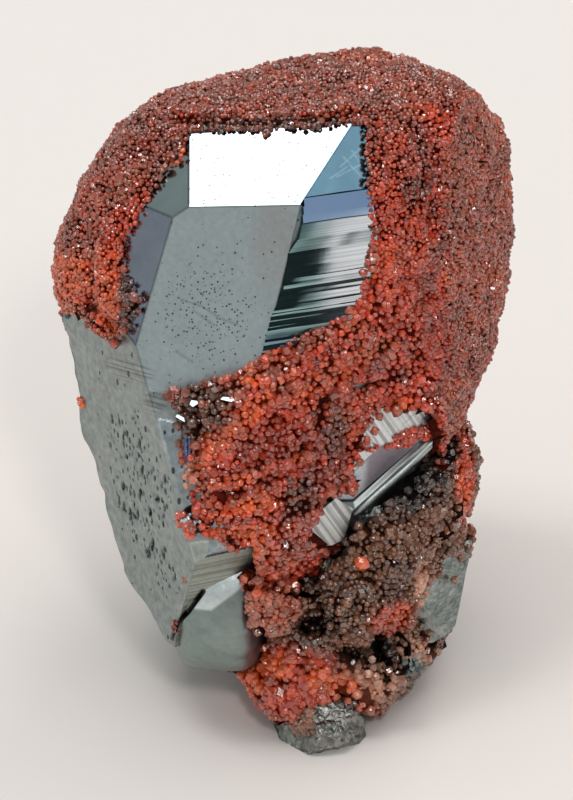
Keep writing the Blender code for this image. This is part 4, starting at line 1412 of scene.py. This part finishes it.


# %% [markdown]
# ## The crust
#
# The crust wraps the large crystal. Its garnets are reddest where it faces the camera and along the
# edge of the window, brown along its lower left rim, and dusty rose on the top and the right side,
# where the paleness is partly painted sheen of the light, and where they are also darkened as painted
# shade. Low in front it lies in ridges with dark furrows between them.

# %% The crust
CRUST_LUMP_MM = 1.5
CRUST_FURROW, CRUST_FURROW_MM = 0.45, 0.35  # the depth and the half width of a named furrow
CRUST_FURROWS = (((8.9, 28.8), (8.8, 26.6)), ((7.8, 22.0), (8.9, 23.1)),
                 ((-1.3, 11.7), (0.3, 12.3)), ((-4.4, 10.8), (-2.8, 11.1)),
                 ((0.3, 13.3), (1.2, 13.8)), ((-2.2, 12.6), (-1.6, 12.9)),
                 ((-12.0, 25.0), (-11.9, 22.2)), ((-4.9, 9.0), (-3.9, 8.9)),
                 ((5.2, 23.5), (5.6, 21.6)), ((5.8, 19.5), (6.6, 20.4)),
                 ((2.4, 16.6), (2.0, 15.0)), ((4.2, 17.2), (5.6, 17.6)))
CRUST_BARE = ((2.8, 10.2, 0.85, 0.45, 40), (-1.8, 9.6, 0.5, 0.3, 10),
              (-5.55, 16.4, 0.4, 0.22, 20), (-3.5, 16.65, 0.42, 0.16, 0),
              (-6.35, 15.6, 0.3, 0.25, -30))
CRUST_PATCHES = (  # colour, weight, then across, up, half widths and turn
    (ORANGE, 0.6, -2.8, 15.2, 3.9, 0.6, 45), (DEEP, 0.5, -1.0, 14.0, 2.4, 1.4, 20),
    (BROWN, 0.95, -5.4, 16.0, 2.4, 1.7, 35), (ORANGE, 0.55, -3.1, 11.9, 2.4, 0.4, 15),
    (ORANGE, 0.5, 0.8, 13.1, 0.7, 0.4), (ORANGE, 0.5, -2.0, 10.3, 2.8, 0.4, 10),
    (ORANGE, 0.5, -2.3, 8.6, 3.0, 0.5, 5), (DEEP, 0.6, -2.6, 11.1, 2.4, 0.25, 12),
    (DEEP, 0.6, -2.2, 9.4, 2.6, 0.22, 8), (DEEP, 0.5, -2.2, 12.9, 2.4, 0.25, 25),
    (BROWN, 0.8, 0.8, 10.9, 0.9, 1.2),
    (BROWN, 0.6, 2.9, 14.7, 0.9, 2.1, 10), ("d9512e", 0.45, 6.9, 26.0, 1.4, 6.5),
    (BROWN, 0.7, 7.7, 29.4, 0.9, 0.7),
    (ORANGE, 0.7, -13.2, 24.0, 1.2, 1.8), (ORANGE, 0.6, -10.9, 23.2, 0.8, 2.6),
    (RED, 0.9, -9.6, 27.4, 2.6, 0.7, 55), ("4c2a1e", 0.95, -9.6, 22.4, 0.6, 2.1),
    (BROWN, 0.8, -0.8, 33.2, 5.2, 0.45), (ORANGE, 0.5, 3.2, 18.4, 3.6, 0.7, 28),
    (PALE, 0.6, -5.9, 12.2, 0.5, 0.9), (PALE, 0.5, -13.0, 22.2, 0.4, 0.4),
)

# %% Lumps, sizes and colours of the crust
def crust_relief(points):
    """Lumps 1 to 3 mm wide with furrows between them, and named furrows in front."""
    warped = points + 0.5 * hills(points, CRUST_LUMP_MM, 60)[:, None]
    nearest, second, _ = scattered(warped, CRUST_LUMP_MM, 61)
    a, u = seen(points)
    furrow = 1 - ramp(second - nearest, 0.0, 0.35)
    front = ramp(points[:, 1], 4.0, -2.0)
    deep = np.max([line(a, u, ends, CRUST_FURROW_MM) for ends in CRUST_FURROWS], axis=0)
    lump = (0.16 + 0.12 * front) * rough(points, 2.2, 62)
    return lump - (0.08 + 0.12 * front) * furrow - CRUST_FURROW * deep * front


def crust_size(points):
    """Full size in front, two thirds of it on the top, the left and the right side."""
    front = ramp(points[:, 1], 2.0, -2.0) * ramp(points[:, 2], 33.0, 30.0)
    return 0.72 + 0.4 * front * ramp(points[:, 0], -11.0, -9.0)


def crust_colour(points, normals, chance):
    """Red in front, rose on top and at the sides, partly as painted sheen and darkened there as
    painted shade, with orange and deep red garnets mixed in.
    """
    top = ramp(normals[:, 2], 0.45, 0.8)
    side = ramp(normals[:, 0], 0.6, 0.85) + ramp(normals[:, 0], -0.35, -0.6)
    mood = rough(points, 2.6, 71) + 0.5 * rough(points, 0.9, 72) + 0.9 * (chance - 0.5)
    colour = tinted(linear(RED) + 0 * points, DEEP, 0.85 * ramp(mood, 0.0, 0.7))
    colour = tinted(colour, ORANGE, 0.9 * ramp(mood, -0.25, -0.8))
    colour = tinted(colour, "7a5448", 0.5 * ramp(rough(points, 1.8, 73), 0.15, 0.5))
    top_and_side = (top + side).clip(0, 1)
    # Paler rose on garnets turned up and aside: partly their own colour, partly painted sheen of the
    # light.
    colour = tinted(colour, ROSE, 0.6 * top_and_side * (0.4 + 0.6 * chance))
    # Painted shade: garnets turned up and aside are darkened.
    colour = colour * (1 - 0.32 * top - 0.16 * side * (1 - top))[:, None]
    near = ramp((points - CRYSTAL_CENTRE) @ LOOK, 3.0, 0.0)  # no patch goes through to the back
    return colour + (painted(colour, points, chance, CRUST_PATCHES) - colour) * near[:, None]


def crust_inside(normals, out):
    """What faces the middle of the crystal."""
    return (normals * out).sum(axis=1) < -0.25


grow("crust", "garnet_crust", CRYSTAL_CENTRE, crust_inside, crust_relief, CRUST_BARE,
     spacing=0.28, size_of=crust_size, colour_of=crust_colour, parts=4)

# %% [markdown]
# ## The druse on the base
#
# On the base the garnets sit in lumps with dark hollows, their black painted shade. They are brown in
# the middle, red in the lobes beside the break, orange along the bottom and on the right edge, and
# painted dark with shade under the bar.

# %% The druse
DRUSE_LUMP, DRUSE_LUMP_MM = 0.22, 1.5
DRUSE_FURROW, DRUSE_HOLLOW = 0.28, 0.7  # their depths
DRUSE_HOLLOWS = ((1.1, 5.7, 0.7, 1.0), (1.5, 2.9, 1.0, 0.45), (6.0, 1.0, 0.8, 1.1, 20),
                 (0.2, 6.9, 0.5, 0.5), (4.2, 0.9, 0.7, 0.4), (-2.5, 2.6, 0.6, 0.4))
DRUSE_BARE = ((10.4, 6.4, 0.9, 0.8), (9.9, 4.5, 1.0, 1.2))
DRUSE_PATCHES = (  # colour, weight, then across, up, half widths and turn
    ("c8664b", 0.85, -0.9, 4.8, 1.9, 2.6), (ORANGE, 0.8, 1.2, 6.3, 0.55, 0.6),
    (RED, 0.7, 6.6, 3.2, 1.4, 1.0, 20), (ORANGE, 0.5, 7.2, 3.6, 0.9, 0.5, 20),
    # 2c221d is painted shade under the bar.
    (PALE, 0.8, 8.4, 5.3, 0.4, 1.4), ("2c221d", 0.9, 8.4, 12.2, 3.0, 1.6, 45),
    (RED, 0.9, 0.5, -1.0, 5.0, 2.3, -15), (ORANGE, 0.95, -1.6, 0.6, 1.9, 0.8, -15),
    (ORANGE, 0.95, -2.6, -0.8, 1.3, 1.0), (ORANGE, 0.8, 2.0, -0.5, 0.8, 0.8),
    (PALE, 0.6, 5.0, -0.8, 2.2, 1.3, -15), (ORANGE, 0.7, 3.4, -1.2, 1.0, 0.7),
    (ORANGE, 0.9, 9.1, 2.3, 0.4, 0.6), (PALE, 0.7, 8.2, 1.0, 1.1, 0.8),
    (RED, 0.9, 9.3, 14.2, 0.5, 1.4), (RED, 0.95, 11.1, 12.0, 0.6, 3.0),
    (ORANGE, 0.6, 11.0, 11.0, 0.5, 1.6),
    ("5f7f80", 0.9, 7.9, 0.2, 0.7, 0.6),
)

# %% Lumps, sizes and colours of the druse
def druse_relief(points):
    """Lumps about 1 mm wide with deep furrows, and hollows."""
    nearest, second, _ = scattered(points, DRUSE_LUMP_MM, 81)
    furrow = 1 - ramp(second - nearest, 0.0, 0.45)
    hollow = patches(*seen(points), DRUSE_HOLLOWS)
    return DRUSE_LUMP * rough(points, 1.8, 82) - DRUSE_FURROW * furrow - DRUSE_HOLLOW * hollow


def druse_size(points):
    """Larger garnets low in front, where they run together."""
    a, u = seen(points)
    return 1.0 + 0.4 * patch(a, u, 0.8, -0.6, 4.5, 2.0, -10)


def druse_colour(points, normals, chance):
    """Dun brown, with patches of red and orange, a patch of painted shade under the bar, and hollows
    tinted nearly black as painted shade.
    """
    mood = rough(points, 2.2, 91) + 0.8 * (chance - 0.5)
    colour = tinted(linear(DUN) + 0 * points, BROWN, ramp(mood, 0.0, 0.6))
    colour = tinted(colour, ROSE, 0.5 * ramp(mood, -0.2, -0.7))
    colour = painted(colour, points, chance, DRUSE_PATCHES)
    # Painted shade: the hollows are tinted nearly black.
    return tinted(colour, BLACK, 0.85 * patches(*seen(points), DRUSE_HOLLOWS))


def druse_inside(normals, out):
    """What faces the middle of the base, but nothing that can be seen through a window."""
    return ((normals * out).sum(axis=1) < -0.5) & (normals @ LOOK > -0.03)


druse_spots = grow("druse", "garnet_druse", BASE_CENTRE, druse_inside, druse_relief, DRUSE_BARE,
                   spacing=0.29, size_of=druse_size, colour_of=druse_colour, parts=1)

# %% [markdown]
# ## Single garnets and small crystals
#
# A few garnets stand alone: a red band along the notch, dark ones in the corner under the bar,
# tufts on the bare faces, one big orange garnet on the brown druse. In a hollow of the front
# face sit a few small grey crystals. Each row of the table is a short row of crystals on the
# large crystal, from one place to another.

# %% Single crystals
ALONE = (  # from, to, half width, number, diameter, colour
    ((4.9, 13.7), (6.9, 14.0), 0.05, 20, 0.3, RED), ((6.7, 14.1), (9.4, 15.0), 0.26, 80, 0.38, RED),
    ((5.3, 9.7), (9.4, 13.5), 0.3, 170, 0.4, "6b5d55"),
    ((-6.4, 9.9), (-6.2, 9.0), 0.14, 16, 0.36, RED), ((-6.2, 9.0), (-5.6, 8.6), 0.14, 14, 0.38, RED),
    ((-12.75, 16.8), (-12.6, 16.3), 0.10, 12, 0.36, ORANGE),
    ((-6.3, 6.0), (-6.2, 5.6), 0.10, 9, 0.18, "a85a34"),
    ((-6.9, 3.2), (-6.8, 2.4), 0.12, 16, 0.2, DEEP),
)
GREY = (
    ((-5.9, 9.8), (-5.3, 9.2), 0.35, 26, 0.32, "c4ccd0"),
    ((-13.7, 22.3), (-13.2, 22.0), 0.2, 30, 0.3, "5f7272"),
)
BIG_PLACE, BIG_SIZE = (4.6, 6.5), 1.0
BIG_NEAR = 0.4  # it takes the foremost place within this distance
ALONE_OUT = 0.1  # the middle of a single crystal is this far in front of the face
TIP_TRIES = 16.0  # places to a square millimetre of the tip
TIP_COAT = ((0.3, -2.2, 1.4, 1.0, -35), (0.9, -3.2, 0.9, 0.7, -40), (3.9, -1.7, 0.9, 0.45, 25))
TIP_PATCHES = ((ORANGE, 0.8, 0.3, -1.4, 1.6, 1.0), (PALE, 0.4, 0.8, -2.8, 1.2, 1.0))

# %% Rows of crystals
def rows_of(table):
    """Middles, diameters and colours of the crystals of a table."""
    middles, diameters, colours = [], [], []
    for (a0, u0), (a1, u1), half, number, diameter, code in table:
        t, beside = CHANCE.random(number), half * CHANCE.normal(size=number).clip(-1.6, 1.6)
        length = np.hypot(a1 - a0, u1 - u0)
        a = a0 + t * (a1 - a0) - beside * (u1 - u0) / length
        u = u0 + t * (u1 - u0) + beside * (a1 - a0) / length
        middles.append(crystal_surface(a, u) - LOOK * ALONE_OUT)
        diameters.append(diameter * (0.7 + 0.6 * CHANCE.random(number)))
        colours.append(linear(code) * (0.6 + 0.8 * CHANCE.random((number, 1))))
    return np.concatenate(middles), np.concatenate(diameters), np.concatenate(colours)


def single_crystals(name, middles, diameters, colours, finish, slot):
    """Trapezohedra at these places."""
    points, quads, copy = crystals(TRAPEZOHEDRON, TRAPEZOHEDRON_FACES, middles, diameters)
    return make_piece(name, points, quads, [finish], slot, tint=colours[copy])


# %% The single crystals
single_crystals("garnets_alone", *rows_of(ALONE), GARNET, "garnet_crust")
single_crystals("grey_crystals", *rows_of(GREY), BROKEN, "hematite")

tip_spots, tip_ways, _ = on_surface(tip_points, tip_faces,
                                    mean_normals(tip_points, tip_faces), TIP_TRIES)
coated = patches(*seen(tip_spots), TIP_COAT) * (tip_ways @ LOOK < 0.1) > 0.5
tip_spots = tip_spots[coated]
tip_colours = painted(linear(BROWN) + 0 * tip_spots, tip_spots, CHANCE.random(len(tip_spots)),
                      TIP_PATCHES)
single_crystals("garnets_on_tip", tip_spots, 0.35 + 0.25 * CHANCE.random(len(tip_spots)),
                tip_colours, GARNET, "garnet_druse")

a, u = seen(druse_spots)
near = np.hypot(a - BIG_PLACE[0], u - BIG_PLACE[1]) < BIG_NEAR
big = druse_spots[near][np.argmin(druse_spots[near] @ LOOK)]
single_crystals("big_garnet", big[None], np.array([BIG_SIZE]), linear(ORANGE)[None], GARNET,
                "garnet_druse")

# %% [markdown]
# ## Table and light
#
# The specimen stands on a plain pale table. One large soft light hangs over it, a little to the
# left, where the bright face mirrors it, and weaker ones fill in from the sides.

# %% The table
TABLE_HALF = 2  # metres

table = bpy.data.meshes.new("table")
table.from_pydata([(-TABLE_HALF, -TABLE_HALF, 0), (TABLE_HALF, -TABLE_HALF, 0),
                   (TABLE_HALF, TABLE_HALF, 0), (-TABLE_HALF, TABLE_HALF, 0)], [],
                  [(0, 1, 2, 3)])
floor = bpy.data.objects.new("table", table)
bpy.context.scene.collection.objects.link(floor)
paper = bpy.data.materials.new("pale_paper")
paper.use_nodes = True
shader = paper.node_tree.nodes["Principled BSDF"]
shader.inputs["Base Color"].default_value = (*linear("efe6e1"), 1)
shader.inputs["Roughness"].default_value = 0.9
table.materials.append(paper)


# %% The lights
LIT_HEIGHT = 0.02  # the lights aim at this height, in metres


def soft_light(name, way, distance, width, power, colour):
    """A square soft light of this width, in metres, that shines on the specimen from a way."""
    data = bpy.data.lights.new(name, "AREA")
    data.shape = "SQUARE"
    data.size = width
    data.energy = power
    data.color = colour
    light = bpy.data.objects.new(name, data)
    way = np.array(way) / np.linalg.norm(way)
    light.location = way * distance + np.array([0, 0, LIT_HEIGHT])
    azimuth = np.arctan2(way[0], -way[1])
    light.rotation_euler = (np.arccos(way[2]), 0, azimuth)
    bpy.context.scene.collection.objects.link(light)


soft_light("overhead", (0.05, 0.12, 0.98), distance=0.75, width=0.7, power=2.1,
           colour=(1, 0.99, 0.98))
soft_light("lamp", (-0.326, -0.017, 0.945), distance=0.74, width=0.19, power=1.0,
           colour=(1, 0.98, 0.97))
soft_light("key", direction(150, 48), distance=0.8, width=0.35, power=1.1,
           colour=(1, 0.98, 0.96))
soft_light("right_fill", direction(58, 26), distance=0.8, width=0.35, power=0.35,
           colour=(0.85, 0.93, 1.0))
soft_light("front_lamp", direction(12, 46), distance=0.9, width=0.12, power=1.5,
           colour=(1, 0.98, 0.96))

# %% The room
# It is lighter towards the ceiling and towards the wall on the left, and a little cool.
world = bpy.data.worlds.new("room")
world.use_nodes = True
tree = world.node_tree
way = add(tree, "ShaderNodeSeparateXYZ",
          {"Vector": add(tree, "ShaderNodeTexCoord").outputs["Generated"]})
ceiling = add(tree, "ShaderNodeMapRange",
              {"Value": way.outputs["Z"], "From Min": 0.0, "From Max": 0.8,
               "To Min": 0.03, "To Max": 0.30})
left_wall = add(tree, "ShaderNodeMapRange",
                {"Value": way.outputs["X"], "From Min": 0.1, "From Max": -0.8,
                 "To Min": 0.0, "To Max": 0.35})
both = add(tree, "ShaderNodeMath",
           {0: ceiling.outputs["Result"], 1: left_wall.outputs["Result"]}, operation="ADD")
cool = add(tree, "ShaderNodeVectorMath",
           {0: (0.88, 1.0, 1.02), 1: both.outputs["Value"]}, operation="MULTIPLY")
tree.links.new(cool.outputs["Vector"], tree.nodes["Background"].inputs["Color"])
bpy.context.scene.world = world
bpy.context.scene.view_settings.view_transform = "Standard"
